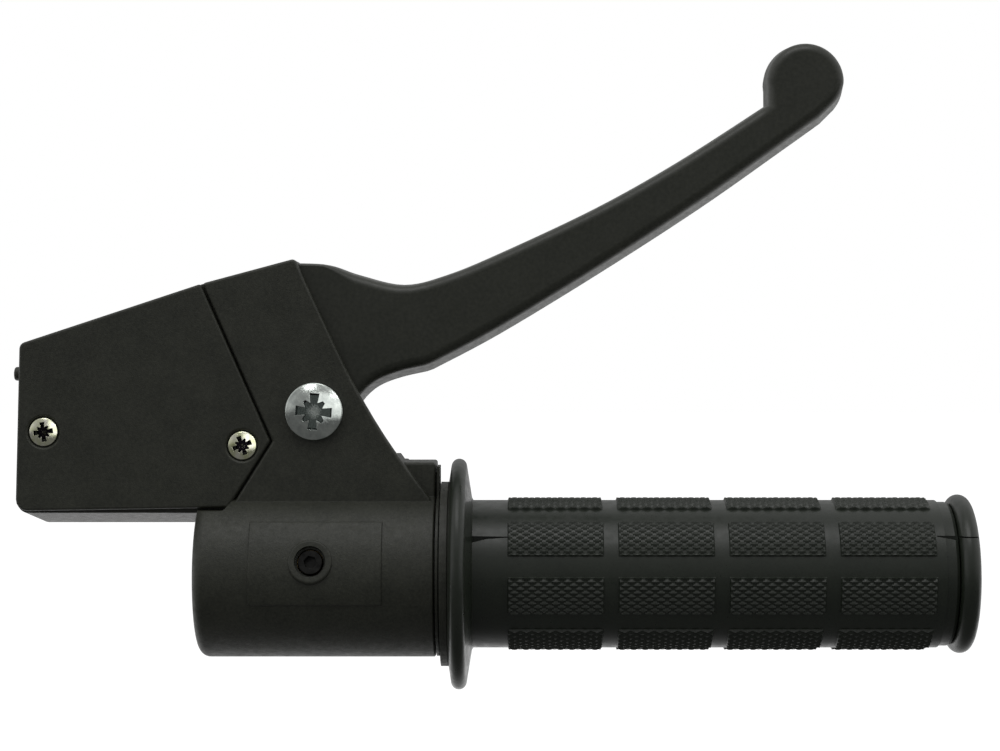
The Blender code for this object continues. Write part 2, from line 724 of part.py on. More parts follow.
def make_pivot_screw(material):
    """A pan-head machine screw, its axis along Y."""
    height = PIVOT_HEAD_HEIGHT
    crown = [(0, 0), (0, 0.62 * PIVOT_HEAD_R), (0.18 * height, 0.86 * PIVOT_HEAD_R)]
    head = [*crown, (0.45 * height, PIVOT_HEAD_R)]
    seat = [(height, PIVOT_HEAD_R), (height, PIVOT_SCREW_R)]
    top_y = FRONT_Y - GAP - height
    length = PIVOT_SCREW_END_Y - top_y
    shank = [(length - 0.6 * MM, PIVOT_SCREW_R), (length, PIVOT_SCREW_R - 0.6 * MM), (length, 0)]
    screw = turned("pivot_screw", head + seat + shank, material, 40)
    place(screw, (PIVOT[0], top_y, PIVOT[1]), (0, 1, 0))
    cut_driver_recess(screw, PIVOT, top_y, PIVOT_DRIVER_REACH, PIVOT_DRIVER_DEPTH, PIVOT_DRIVER_TURN)
    shade_round(screw)
    return screw


def make_ring(name, inner_r, outer_r, y_start, y_end, centre, material):
    """A plain ring whose axis runs along Y."""
    length = y_end - y_start
    profile = [(0, inner_r), (0, outer_r), (length, outer_r), (length, inner_r)]
    ring = turned(name, profile, material, 32)
    place(ring, (centre[0], y_start, centre[1]), (0, 1, 0))
    shade_round(ring)
    return ring


def make_pivot_bush(material):
    start = SLOT_FRONT_Y + GAP
    end = SLOT_BACK_Y - GAP
    return make_ring("pivot_bush", PIVOT_SCREW_R + GAP, BUSH_R, start, end, PIVOT, material)


def make_lock_washer(material):
    """A split spring washer, under the nut."""
    start = NUT_POCKET_FLOOR_Y + GAP
    end = start + LOCK_WASHER_THICKNESS
    washer = make_ring("pivot_lock_washer", PIVOT_SCREW_R + GAP, LOCK_WASHER_R, start, end, PIVOT, material)
    split = box("cutter", (-0.5 * MM, -3 * MM, 0), (0.5 * MM, 3 * MM, 8 * MM))
    split.data.transform(Matrix.Rotation(math.radians(35), 4, "Z"))
    split.data.transform(Matrix.Translation((PIVOT[0], (start + end) / 2, PIVOT[1])))
    cut(washer, split)
    return washer


def make_pivot_nut(material):
    start = NUT_POCKET_FLOOR_Y + LOCK_WASHER_THICKNESS + 2 * GAP
    nut = prism("pivot_nut", hexagon(NUT_ACROSS_FLATS, PIVOT), start, start + NUT_HEIGHT, material)
    cut(nut, rod("cutter", PIVOT_SCREW_R + GAP, (PIVOT[0], start - MM, PIVOT[1]), (0, 1, 0), 8 * MM))
    return nut


def make_cover_screw(name, x, z, material):
    top_y = FRONT_Y - 0.25 * MM
    seat_y = FRONT_Y + COVER_HEAD_SEAT - GAP
    head = seat_y - top_y
    length = COVER_SCREW_LENGTH
    profile = [
        (0, 0), (0, COVER_HEAD_R - 0.5 * MM), (0.3 * MM, COVER_HEAD_R), (head, COVER_HEAD_R),
        (head, COVER_SHANK_R), (length - 2 * MM, COVER_SHANK_R), (length, 0.3 * MM), (length, 0),
    ]
    screw = place(turned(name, profile, material, 32), (x, top_y, z), (0, 1, 0))
    cut_driver_recess(screw, (x, z), top_y, COVER_DRIVER_REACH, COVER_DRIVER_DEPTH, COVER_DRIVER_TURNS[name])
    shade_round(screw)
    return screw


# ---------------------------------------------------------------- handlebar clamp


def make_set_screw(material):
    length = SET_SCREW_TOP_R - INSERT_INNER_R
    tip = 0.6 * MM
    profile = [(0, 0), (0, SET_SCREW_R - tip), (tip, SET_SCREW_R), (length, SET_SCREW_R), (length, 0)]
    screw = turned("clamp_set_screw", profile, material, 32)
    place(screw, clamp_point(INSERT_INNER_R), clamp_direction())
    socket = prism("cutter", hexagon(SOCKET_ACROSS_FLATS, (0, 0)), -MM, SOCKET_DEPTH)
    socket.data.transform(Matrix.Rotation(math.radians(-90), 4, "Z"))
    cut(screw, place(socket, clamp_point(SET_SCREW_TOP_R), clamp_direction() * -1))
    shade_round(screw)
    return screw


def make_thread_insert(material):
    length = INSERT_TOP_R - INSERT_INNER_R
    bore_r = SET_SCREW_R + GAP
    profile = [(0, bore_r), (0, INSERT_R), (length, INSERT_R), (length, bore_r)]
    insert = turned("clamp_thread_insert", profile, material, 32)
    place(insert, clamp_point(INSERT_INNER_R), clamp_direction())
    shade_round(insert)
    return insert


# ---------------------------------------------------------------- twist drive


def groove_x(angle):
    """Where the groove's centre line lies along the tube, for an angle round it."""
    return PEG_X + LEAD_PER_RADIAN * (angle - PEG_ANGLE)


def spiral_groove():
    """A cutter that follows the groove, whose closed ends stop the twist just past idle and full throttle."""
    mean_r = (GROOVE_FLOOR_R + DRUM_R) / 2
    rise = math.atan2(LEAD_PER_RADIAN, mean_r)
    across_x = GROOVE_HALF_WIDTH * math.cos(rise)
    across_angle = -GROOVE_HALF_WIDTH * math.sin(rise) / mean_r
    end_margin = (PEG_R + 0.4 * MM) * math.cos(rise) / mean_r
    first = PEG_ANGLE - end_margin
    last = PEG_ANGLE + TWIST_RANGE + end_margin
    steps = 26
    shape = bmesh.new()
    sections = []
    for step in range(steps + 1):
        angle = first + (last - first) * step / steps
        section = []
        for side, radius in ((-1, GROOVE_FLOOR_R), (1, GROOVE_FLOOR_R), (1, DRUM_R + MM), (-1, DRUM_R + MM)):
            x = groove_x(angle) + side * across_x
            round_bar = angle + side * across_angle
            section.append(shape.verts.new((x, -radius * math.cos(round_bar), radius * math.sin(round_bar))))
        sections.append(section)
    for near, far in zip(sections, sections[1:]):
        for i in range(4):
            j = (i + 1) % 4
            shape.faces.new([near[i], near[j], far[j], far[i]])
    shape.faces.new(sections[0])
    shape.faces.new(sections[-1])
    return object_from("cutter", shape)


def make_twist_tube(material):
    profile = [
        (DRUM_START_X, TUBE_BORE_R), (DRUM_START_X, DRUM_R), (TUBE_FLANGE_X[0], DRUM_R),
        (TUBE_FLANGE_X[0], TUBE_FLANGE_R), (TUBE_FLANGE_X[1], TUBE_FLANGE_R), (TUBE_FLANGE_X[1], TUBE_R),
        (TUBE_END_X, TUBE_R), (TUBE_END_X, TUBE_BORE_R),
    ]
    tube = turned("twist_tube", profile, material)
    cut(tube, spiral_groove())
    shade_round(tube)
    return tube


def make_throttle_slider(material):
    """The shuttle that the groove pushes along the channel. The throttle cable's nipple sits in its end."""
    width = CHANNEL_HALF_WIDTH - GAP
    bottom = CHANNEL_FLOOR_Z + GAP
    top = CHANNEL_ROOF_Z - GAP
    start_x = PEG_X - SLIDER_TAIL
    slider = box("throttle_slider", (start_x, -width, bottom), (PEG_X + PEG_R, width, top), material)
    peg_length = bottom + MM - GROOVE_FLOOR_R - GAP
    join(slider, rod("peg", PEG_R, (PEG_X, 0, GROOVE_FLOOR_R + GAP), (0, 0, 1), peg_length, steps=24))
    pocket_x = start_x + 5 * MM
    pocket_floor = bottom + 1.2 * MM
    pocket = rod("cutter", THROTTLE_NIPPLE_R, (pocket_x, 0, pocket_floor), (0, 0, 1), 10 * MM, steps=24)
    slot_low = (start_x - MM, -THROTTLE_SLOT_HALF_WIDTH, pocket_floor)
    slot = box("cutter", slot_low, (pocket_x, THROTTLE_SLOT_HALF_WIDTH, top + MM))
    cut(slider, pocket, slot)
    shade_round(slider)
    set_origin(slider, (PEG_X, 0, (bottom + top) / 2))
    return slider


def make_end_washer(material):
    """A flat washer between housing and tube flange. Its tab closes the slider channel's end."""
    start, end = WASHER_X
    washer = turned("end_washer", [(start, 0), (start, WASHER_R), (end, WASHER_R), (end, 0)], material)
    tab_low = (start, -WASHER_TAB_HALF_WIDTH, DRUM_R)
    join(washer, box("tab", tab_low, (end, WASHER_TAB_HALF_WIDTH, WASHER_TAB_Z)))
    cut(washer, rod("cutter", DRUM_R + 0.4 * MM, (start - MM, 0, 0), (1, 0, 0), 3 * MM, steps=ROUND_STEPS))
    shade_round(washer)
    return washer


# ---------------------------------------------------------------- rubber grip


def grip_flange_profile(rim_steps=6):
    """Outer surface of the grip's flange as (x, radius), from its inboard face to the grip's body."""
    outboard = GRIP_START_X + GRIP_FLANGE_THICKNESS
    rim_centre = (GRIP_RIM_X, GRIP_FLANGE_R - GRIP_RIM_ROUNDING)
    rim = arc_points(rim_centre, GRIP_RIM_ROUNDING, math.radians(175), math.radians(10), rim_steps)
    hub = [(GRIP_START_X, GRIP_BORE_R), (GRIP_START_X, 0.7 * GRIP_FLANGE_R)]
    return [*hub, *rim, (outboard - 0.1 * MM, GRIP_R + 0.6 * MM), (outboard + 0.2 * MM, GRIP_R)]


def grip_end_profile():
    """Outer surface of the grip's closed end as (x, radius), up to its middle."""
    bead_r = GRIP_BEAD_WIDTH / 2
    bead_centre = (GRIP_END_X - bead_r, GRIP_BEAD_R - bead_r)
    bead = arc_points(bead_centre, bead_r, math.radians(165), 0, 6)
    taper = (bead_centre[0] - bead_r - 4 * MM, GRIP_R - 0.4 * MM)
    return [taper, *bead, (GRIP_END_X, 0.8 * GRIP_BEAD_R), (GRIP_END_X, 0)]


def pad_columns():
    """Stations along the grip, each with the share of the pads' height that it carries."""
    stations = []
    for column in range(PAD_COLUMNS):
        start = PAD_FIRST_X + column * PAD_PITCH
        end = start + PAD_LENGTH
        stations += [(start, 0), (start + PAD_SLOPE, 1), (end - PAD_SLOPE, 1), (end, 0)]
    return stations


def pad_rows():
    """Angles round the grip, each with the share of the pads' height that it carries."""
    slope = PAD_SLOPE / GRIP_R
    angles = []
    for row in range(PAD_ROWS):
        centre = PAD_ROW_CENTRE + row * 2 * math.pi / PAD_ROWS
        start = centre - PAD_ARC / 2
        inner = PAD_ARC - 2 * slope
        angles += [(start, 0)]
        angles += [(start + slope + inner * i / 3, 1) for i in range(4)]
        angles += [(start + PAD_ARC, 0)]
        gap = 2 * math.pi / PAD_ROWS - PAD_ARC
        angles += [(start + PAD_ARC + gap / 2, 0)]
    return angles


def make_grip_rubber(material):
    stations = [(x, radius, 0) for x, radius in grip_flange_profile()]
    stations += [(x, GRIP_R, share) for x, share in pad_columns()]
    stations += [(x, radius, 0) for x, radius in grip_end_profile()]
    inner_end = GRIP_END_X - GRIP_END_WALL
    stations += [(inner_end, 0, 0), (inner_end, GRIP_BORE_R, 0)]
    angles = pad_rows()
    shape = bmesh.new()
    rings = []
    for x, radius, column_share in stations:
        if radius == 0:
            rings.append([shape.verts.new((x, 0, 0))] * len(angles))
            continue
        ring = []
        for angle, row_share in angles:
            r = radius + PAD_HEIGHT * column_share * row_share
            ring.append(shape.verts.new((x, -r * math.cos(angle), r * math.sin(angle))))
        rings.append(ring)
    count = len(angles)
    for near, far in zip(rings, rings[1:] + rings[:1]):
        for i in range(count):
            j = (i + 1) % count
            corners = [near[i], near[j], far[j], far[i]]
            corners = [v for k, v in enumerate(corners) if v not in corners[:k]]
            if len(corners) > 2:
                shape.faces.new(corners)
    grip = object_from("grip_rubber", shape, material)
    shade_round(grip)
    return grip


# ---------------------------------------------------------------- assembly


def hang_on_handlebar_end():
    """Puts the world's origin where the handlebar ends."""
    pieces = list(bpy.data.objects)
    housing_face = bpy.data.objects.new("housing_face", None)
    bpy.context.scene.collection.objects.link(housing_face)
    housing_face.location = (-BAR_END_X, 0, 0)
    for piece in pieces:
        piece.parent = housing_face


def main():
    clear_scene()
    nylon = black_nylon()
    acetal = natural_acetal()
    yellow_zinc = yellow_zinc_plate()
    zinc = zinc_plate()
    make_housing(nylon)
    make_cable_cover(nylon)
    for name, (x, z) in COVER_SCREWS.items():
        make_cover_screw(name, x, z, yellow_zinc)
    make_brake_lever(black_lever_plastic())
    make_pivot_screw(zinc)
    make_pivot_bush(zinc)
    make_lock_washer(zinc)
    make_pivot_nut(zinc)
    make_set_screw(black_oxide_steel())
    make_thread_insert(brass())
    make_twist_tube(nylon)
    make_throttle_slider(acetal)
    make_end_washer(nylon)
    make_grip_rubber(black_rubber())
    hang_on_handlebar_end()


main()
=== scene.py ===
"""Looks of the throttle grip: fine meshes, materials, studio light and camera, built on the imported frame.

Visual pieces are drawn in the housing's own coordinates, in metres: X along the handlebar from the
housing's inboard end face, Z towards the lever, Y away from the screw heads. to_frame() then shifts each
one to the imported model's place.
"""

import json
import math

import bmesh
import bpy
import numpy as np
from mathutils import Matrix, Vector


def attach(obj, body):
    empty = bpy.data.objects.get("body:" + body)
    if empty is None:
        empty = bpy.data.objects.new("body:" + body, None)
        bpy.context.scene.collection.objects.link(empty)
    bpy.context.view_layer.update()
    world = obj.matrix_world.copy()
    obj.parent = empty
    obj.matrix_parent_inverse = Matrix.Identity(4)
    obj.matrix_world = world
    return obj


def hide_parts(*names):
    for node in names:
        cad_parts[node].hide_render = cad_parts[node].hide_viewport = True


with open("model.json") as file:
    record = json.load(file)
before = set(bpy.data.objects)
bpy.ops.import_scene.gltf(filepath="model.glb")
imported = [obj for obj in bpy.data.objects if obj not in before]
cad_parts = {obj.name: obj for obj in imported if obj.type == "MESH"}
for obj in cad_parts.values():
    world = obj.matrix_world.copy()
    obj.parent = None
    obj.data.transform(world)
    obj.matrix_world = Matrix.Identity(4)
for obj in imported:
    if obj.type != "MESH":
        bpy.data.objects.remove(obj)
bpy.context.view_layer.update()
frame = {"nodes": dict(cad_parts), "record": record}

# ---- sizes

MM = 0.001

GAP = 0.3 * MM  # clearance between neighbouring pieces
ROUND_STEPS = 128
OUTLINE_STEPS = 6
TO_BACK = (0, 1, 0)

# Bore for the handlebar, the size that everything else is built round
BAR_BORE_R = 11.15 * MM

# Housing barrel
BARREL_LENGTH = 51.0 * MM
BARREL_R = 17.95 * MM
BARREL_RIM_FILLET = 2.3 * MM
BARREL_FAR_CHAMFER = 0.25 * MM
DRUM_BORE_R = 15.4 * MM
DRUM_BORE_START = 29.0 * MM

# Housing box: its faces, walls and outline in the XZ plane
FRONT_Y = -8.0 * MM
BACK_Y = 18.0 * MM
WALL = 2.4 * MM
BOX_TOP_LEFT = (-38.1 * MM, 49.9 * MM)
BOX_BOTTOM_LEFT = (-39.05 * MM, 10.0 * MM)
BOX_BOTTOM_FRONT_Z = 13.9 * MM
BOX_CORNER_R = 2.3 * MM
EAR_TOP = (21.3 * MM, 68.2 * MM)
EAR_FOOT = (50.2 * MM, 16.4 * MM)
BACK_EAR_INSET = 2.0 * MM
SLOT_FRONT_Y = FRONT_Y + 2.6 * MM
SLOT_BACK_Y = 8.5 * MM

# Cable cover, a plate let into the housing's front
COVER_THICKNESS = 2.2 * MM
SHELF_Y = FRONT_Y + COVER_THICKNESS + GAP  # where the box begins behind the cover
COVER_SEAM_TOP = (0.75 * MM, 62.75 * MM)
COVER_SEAM_POINT = (15.75 * MM, 29.0 * MM)
COVER_SEAM_FOOT = (6.7 * MM, 14.75 * MM)
COVER_LEFT_FOOT = (-38.95 * MM, 14.0 * MM)
COVER_SCREWS = {"cover_screw_left": (-32.9 * MM, 31.0 * MM), "cover_screw_right": (9.7 * MM, 28.1 * MM)}
COVER_HEAD_R = 3.05 * MM
COVER_HEAD_SEAT = 1.0 * MM
COVER_SHANK_R = 1.25 * MM
COVER_SCREW_LENGTH = 12.0 * MM
COVER_DRIVER_REACH = 2.25 * MM
COVER_DRIVER_TURNS = {"cover_screw_left": math.radians(8), "cover_screw_right": math.radians(21)}
POST_R = 3.4 * MM
POST_FLOOR = 4.0 * MM  # left solid below a post's screw hole

# Slider channel along the top of the barrel
CHANNEL_HALF_WIDTH = 3.9 * MM
CHANNEL_FLOOR_Z = 16.6 * MM
CHANNEL_ROOF_Z = 22.0 * MM
CHANNEL_START_X = 3.0 * MM
BLOCK_START_X = 24.0 * MM
BLOCK_BOTTOM_Z = 8.0 * MM
BLOCK_TOP_Z = 24.4 * MM
BLOCK_FRONT_Y = -5.6 * MM
BLOCK_BACK_Y = 12.0 * MM

# Cable entries through the housing's left wall
CABLE_HOLE_R = 3.2 * MM  # takes a 6 mm ferrule
BRAKE_CABLE_Z = 36.5 * MM
THROTTLE_CABLE_Z = 19.6 * MM
NOSE_R = 1.5 * MM
NOSE_Z = 43.4 * MM
NOSE_TIP_X = -40.7 * MM

# Handlebar clamp: a set screw in a threaded insert, on a radius tilted towards the lever
CLAMP_X = 25.1 * MM
CLAMP_TILT = math.radians(12.5)
CLAMP_HOLE_R = 3.3 * MM
CLAMP_NECK_R = 2.85 * MM
CLAMP_NECK_TOP = 17.2 * MM
CLAMP_BOSS_R = 4.7 * MM
CLAMP_BOSS_ROOT = 14.0 * MM  # from the handlebar's axis
PANEL_RISE = 0.35 * MM
CLAMP_BOSS_TOP = BARREL_R + PANEL_RISE + 0.35 * MM
PANEL_CENTRE_X = 26.05 * MM
PANEL_LENGTH = 28.1 * MM
PANEL_HEIGHT = 17.8 * MM
INSERT_R = 4.0 * MM
INSERT_TOP_R = 15.6 * MM

# Lever pivot
PIVOT = (25.2 * MM, 35.4 * MM)
PIVOT_SCREW_R = 2.95 * MM
PIVOT_HEAD_R = 6.2 * MM
PIVOT_HEAD_HEIGHT = 2.6 * MM
PIVOT_SCREW_END_Y = 17.8 * MM
PIVOT_DRIVER_REACH = 4.2 * MM
PIVOT_DRIVER_TURN = math.radians(-4)
BUSH_R = 4.6 * MM
NUT_ACROSS_FLATS = 10.0 * MM
NUT_POCKET_FLOOR_Y = 12.0 * MM

# Brake lever
LEVER_Y = 1.6 * MM
LEVER_THICKNESS = 13.0 * MM
LEVER_BOSS_R = 8.5 * MM
LEVER_ROUNDING = 2.0 * MM
LEVER_DRAFT = 0.35 * MM  # how far the sides lean in from the mid-plane to either face
LEVER_LOWER_DRAFT = 1.3 * MM  # how much more the side that faces the grip leans in
KNOB_CENTRE = (131.0 * MM, 106.6 * MM)
KNOB_R = 8.66 * MM
NIPPLE_SEAT = (20.0 * MM, 56.6 * MM)
NIPPLE_SEAT_R = 3.0 * MM
NIPPLE_SEAT_FLOOR = 1.5 * MM
CABLE_SLOT_HALF_WIDTH = 1.1 * MM

# Slot in the barrel for the slider's peg
GROOVE_FLOOR_R = 12.45 * MM
PEG_R = 2.0 * MM
PEG_SLOT_HALF_WIDTH = PEG_R + 0.6 * MM

# Twist tube and rubber grip, along the bar
TUBE_FLANGE_X = (52.2 * MM, 53.8 * MM)
TUBE_FLANGE_R = 20.0 * MM
TUBE_R = 12.6 * MM
GRIP_START_X = 54.1 * MM
GRIP_END_X = 166.7 * MM
GRIP_BORE_R = TUBE_R + GAP
GRIP_R = 16.0 * MM
GRIP_FLANGE_R = 25.0 * MM
GRIP_FLANGE_THICKNESS = 4.8 * MM
GRIP_RIM_X = 56.05 * MM
GRIP_RIM_ROUNDING = 1.65 * MM
GRIP_BEAD_R = 17.2 * MM
GRIP_BEAD_WIDTH = 4.3 * MM
GRIP_END_WALL = 3.3 * MM

# Pads that stand on the grip: rows round it, columns along it
PAD_ROWS = 8
PAD_COLUMNS = 4
PAD_ROW_CENTRE = math.radians(32.5)
PAD_ARC = math.radians(28)
PAD_FIRST_X = 66.8 * MM
PAD_PITCH = 23.45 * MM
PAD_LENGTH = 20.0 * MM
PAD_SLOPE = 0.2 * MM  # how far a pad's side spreads towards its foot

# ---- outlines, solids and Booleans


def arc_points(centre, radius, start, end, steps):
    """Points on a circle from one angle to another, both ends included."""
    return [
        (
            centre[0] + radius * math.cos(start + (end - start) * i / steps),
            centre[1] + radius * math.sin(start + (end - start) * i / steps),
        )
        for i in range(steps + 1)
    ]


def round_corners(corners, steps=4):
    """The closed outline through (x, z, radius) corners, each corner turned into an arc."""
    outline = []
    count = len(corners)
    for i, (x, z, radius) in enumerate(corners):
        here = Vector((x, z))
        if radius == 0:
            outline.append((x, z))
            continue
        before = (Vector(corners[i - 1][:2]) - here).normalized()
        after = (Vector(corners[(i + 1) % count][:2]) - here).normalized()
        half_angle = before.angle(after) / 2
        start = here + before * (radius / math.tan(half_angle))
        centre = here + (before + after).normalized() * (radius / math.sin(half_angle))
        first = start - centre
        turn = (math.pi - 2 * half_angle) * (1 if before.cross(after) < 0 else -1)
        for step in range(steps + 1):
            outline.append(tuple(centre + Matrix.Rotation(turn * step / steps, 2) @ first))
    return outline


def smooth_through(points, steps):
    """A Catmull-Rom curve through the points."""
    padded = [points[0], *points, points[-1]]
    curve = []
    for i in range(1, len(padded) - 2):
        a, b, c, d = (Vector(p) for p in padded[i - 1 : i + 3])
        for step in range(steps):
            t = step / steps
            square = 2 * a - 5 * b + 4 * c - d
            cube = 3 * b - a - 3 * c + d
            blend = 2 * b + (c - a) * t + square * t**2 + cube * t**3
            curve.append(tuple(blend / 2))
    curve.append(tuple(points[-1]))
    return curve


def in_mm(points):
    return [(x * MM, z * MM) for x, z in points]


def add_object(name, data):
    obj = bpy.data.objects.new(name, data)
    bpy.context.scene.collection.objects.link(obj)
    return obj


def object_from(name, mesh_builder):
    """A new object whose mesh comes from a bmesh, with its normals facing out."""
    bmesh.ops.remove_doubles(mesh_builder, verts=mesh_builder.verts, dist=1e-7)
    bmesh.ops.recalc_face_normals(mesh_builder, faces=mesh_builder.faces)
    mesh = bpy.data.meshes.new(name)
    mesh_builder.to_mesh(mesh)
    mesh_builder.free()
    return add_object(name, mesh)


def extruded(name, corners, offset):
    """The face through the corners, extruded by the offset."""
    shape = bmesh.new()
    face = shape.faces.new([shape.verts.new(corner) for corner in corners])
    grown = bmesh.ops.extrude_face_region(shape, geom=[face])
    moved = [item for item in grown["geom"] if isinstance(item, bmesh.types.BMVert)]
    bmesh.ops.translate(shape, verts=moved, vec=offset)
    return object_from(name, shape)


def prism(name, outline, y_start, y_end):
    """An outline in the XZ plane, extruded along Y."""
    return extruded(name, [(x, y_start, z) for x, z in outline], (0, y_end - y_start, 0))


def box(name, low, high):
    outline = [(low[0], low[2]), (high[0], low[2]), (high[0], high[2]), (low[0], high[2])]
    return prism(name, outline, low[1], high[1])


def bridge(shape, near, far):
    """Joins two rings of corners with a band of faces."""
    for i in range(len(near)):
        j = (i + 1) % len(near)
        shape.faces.new([near[i], near[j], far[j], far[i]])


def turned(name, profile, steps=ROUND_STEPS):
    """A closed profile of (x, radius) points, turned round the X axis. Radius 0 stands for a flat end."""
    shape = bmesh.new()
    angles = [2 * math.pi * step / steps for step in range(steps)]
    rings = []
    for x, radius in profile:
        ring = [(x, -radius * math.cos(angle), radius * math.sin(angle)) for angle in angles if radius]
        rings.append([shape.verts.new(point) for point in ring])
    for near, far in zip(rings, rings[1:] + rings[:1]):
        if near and far:
            bridge(shape, near, far)
        elif near or far:
            shape.faces.new(near or far)
    return object_from(name, shape)


def place(obj, position, direction):
    """Moves a turned solid so that its X axis starts at position and runs along direction."""
    turn = Vector((1, 0, 0)).rotation_difference(Vector(direction)).to_matrix().to_4x4()
    obj.data.transform(Matrix.Translation(position) @ turn)
    obj.data.update()
    return obj


def rod(name, radius, position, direction, length, steps=32):
    """A plain round bar from position along direction."""
    profile = [(0, 0), (length, 0), (length, radius), (0, radius)]
    return place(turned(name, profile, steps), position, direction)


def combine(target, others, operation):
    """Applies a Boolean of each other object to the target's mesh, and removes the other object."""
    for other in others:
        modifier = target.modifiers.new("combine", "BOOLEAN")
        modifier.operation = operation
        modifier.solver = "EXACT"
        modifier.object = other
        mesh = evaluated_mesh(target)
        target.modifiers.remove(modifier)
        target.data = mesh
        bpy.data.objects.remove(other)
    return target


def cut(target, *cutters):
    return combine(target, cutters, "DIFFERENCE")


def join(target, *others):
    return combine(target, others, "UNION")


# ---- placing and smoothing


def mount_position(name):
    return next(Vector(m["pos_m"]) for m in frame["record"]["mounts"] if m["name"] == name)


HOUSING_FACE_X = mount_position("clamp_end_face").x


def put_material(obj, material):
    obj.data.materials.clear()
    obj.data.materials.append(material)


def to_frame(piece, body, material, node):
    """Shifts a finished piece to its place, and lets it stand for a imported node."""
    piece.data.transform(Matrix.Translation((HOUSING_FACE_X, 0, 0)))
    put_material(piece, material)
    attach(piece, body)
    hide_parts(node)


def evaluated_mesh(obj):
    """A new mesh of the object as its modifiers make it."""
    bpy.context.view_layer.update()
    evaluated = obj.evaluated_get(bpy.context.evaluated_depsgraph_get())
    return bpy.data.meshes.new_from_object(evaluated)


def add_bevel(obj, width, segments, angle):
    """Rounds the edges at which the surface turns by more than an angle in degrees."""
    bevel = obj.modifiers.new("round_edges", "BEVEL")
    bevel.width = width
    bevel.segments = segments
    bevel.limit_method = "ANGLE"
    bevel.angle_limit = math.radians(angle)
    return bevel


def soften(obj, width, segments=3):
    """Rounds the object's edges in its mesh."""
    add_bevel(obj, width, segments, 30)
    mesh = evaluated_mesh(obj)
    obj.modifiers.clear()
    obj.data = mesh
    return obj


def shade_smooth(obj, angle):
    obj.data.shade_smooth()
    obj.data.set_sharp_from_angle(angle=math.radians(angle))


def smooth(obj, angle=32):
    """Smooth shading, with sharp edges where the surface turns by more than an angle in degrees."""
    shade_smooth(obj, angle)
    weighted = obj.modifiers.new("face_weighted_normals", "WEIGHTED_NORMAL")
    weighted.keep_sharp = True
    weighted.weight = 80
    return obj


# ---- the housing's outlines and hollows


def ear_edge(inset=0.0):
    """The housing's long slanted edge on the lever's side, from its top corner to the barrel."""
    corners = in_mm([(22.4, 64.8), (31.3, 45.8), (36.3, 36.4), (42.25, 27.0)])
    edge = smooth_through([*corners, EAR_FOOT], 3)
    return [(x - inset, z) for x, z in edge]


def top_corner(steps):
    """The rounded corner at the top of the slanted edge."""
    centre = (EAR_TOP[0] - 0.9 * MM, EAR_TOP[1] - 1.2 * MM)
    return arc_points(centre, MM, math.radians(25), math.radians(105), steps)


def box_outline():
    """Outline of the box: up its slanted edge, over the top corner and round the left side."""
    left_side = round_corners([
        (*COVER_SEAM_TOP, 0),
        (*BOX_TOP_LEFT, 1.8 * MM),
        (*BOX_BOTTOM_LEFT, 0),
        (EAR_FOOT[0], BOX_BOTTOM_LEFT[1], 0),
    ])
    return [*reversed(ear_edge()), *top_corner(3), *left_side]


def cover_outline():
    corners = [
        (*BOX_TOP_LEFT, 1.5 * MM),
        (*COVER_LEFT_FOOT, 2.4 * MM),
        (*COVER_SEAM_FOOT, 0.8 * MM),
        (*COVER_SEAM_POINT, 0),
        (*COVER_SEAM_TOP, 0.6 * MM),
    ]
    return round_corners(corners)


def left_wall_normal():
    """Outwards from the box's left wall, which leans a little."""
    wall = Vector(BOX_TOP_LEFT) - Vector(BOX_BOTTOM_LEFT)
    return Vector((-wall.y, 0, wall.x)).normalized()


def back_ear_relief():
    """Sets the rear ear's slanted edge back from the front one's."""
    beyond = 30 * MM
    edge = [(x, z) for x, z in ear_edge(BACK_EAR_INSET) if z > BLOCK_TOP_Z]
    outline = [(edge[0][0], EAR_TOP[1] + MM), *edge, (edge[-1][0] + MM, BLOCK_TOP_Z)]
    outline += [(EAR_FOOT[0] + beyond, BLOCK_TOP_Z), (EAR_FOOT[0] + beyond, EAR_TOP[1] + MM)]
    return prism("cutter", outline, SLOT_BACK_Y - MM, BACK_Y + MM)


def bottom_slope():
    """Slopes the box's underside, which lies lower at the back than along the cover."""
    fall = (BOX_BOTTOM_FRONT_Z - BOX_BOTTOM_LEFT[1]) / (BACK_Y - FRONT_Y)
    front_z = BOX_BOTTOM_FRONT_Z + fall * MM
    back_z = BOX_BOTTOM_LEFT[1] - fall * MM
    section = [(FRONT_Y - MM, front_z), (BACK_Y + MM, back_z), (BACK_Y + MM, 0), (FRONT_Y - MM, 0)]
    start_x = BOX_BOTTOM_LEFT[0] - MM
    corners = [(start_x, y, z) for y, z in section]
    return extruded("cutter", corners, (EAR_FOOT[0] + MM - start_x, 0, 0))


def cable_compartment():
    """The hollow behind the cover. It opens into the lever's slot."""
    outline = in_mm([(-35.8, 16.5), (6.0, 16.5), (14.2, 29.6), (1.0, 59.7), (-35.8, 47.5)])
    return prism("cutter", outline, FRONT_Y + MM, BACK_Y - WALL)


def lever_slot():
    """The space between the two ears, open on the slanted side and above the lever."""
    outline = in_mm([(-4.0, 26.0), (70.0, 26.0), (70.0, 80.0), (20.6, 80.0), (20.6, 65.3), (-4.0, 58.2)])
    return prism("cutter", outline, SLOT_FRONT_Y, SLOT_BACK_Y)


def slider_channel():
    channel = box(
        "cutter",
        (CHANNEL_START_X, -CHANNEL_HALF_WIDTH, CHANNEL_FLOOR_Z),
        (BARREL_LENGTH + MM, CHANNEL_HALF_WIDTH, CHANNEL_ROOF_Z),
    )
    peg_slot = box(
        "cutter",
        (DRUM_BORE_START, -PEG_SLOT_HALF_WIDTH, GROOVE_FLOOR_R),
        (BARREL_LENGTH + MM, PEG_SLOT_HALF_WIDTH, CHANNEL_FLOOR_Z + 0.5 * MM),
    )
    return channel, peg_slot


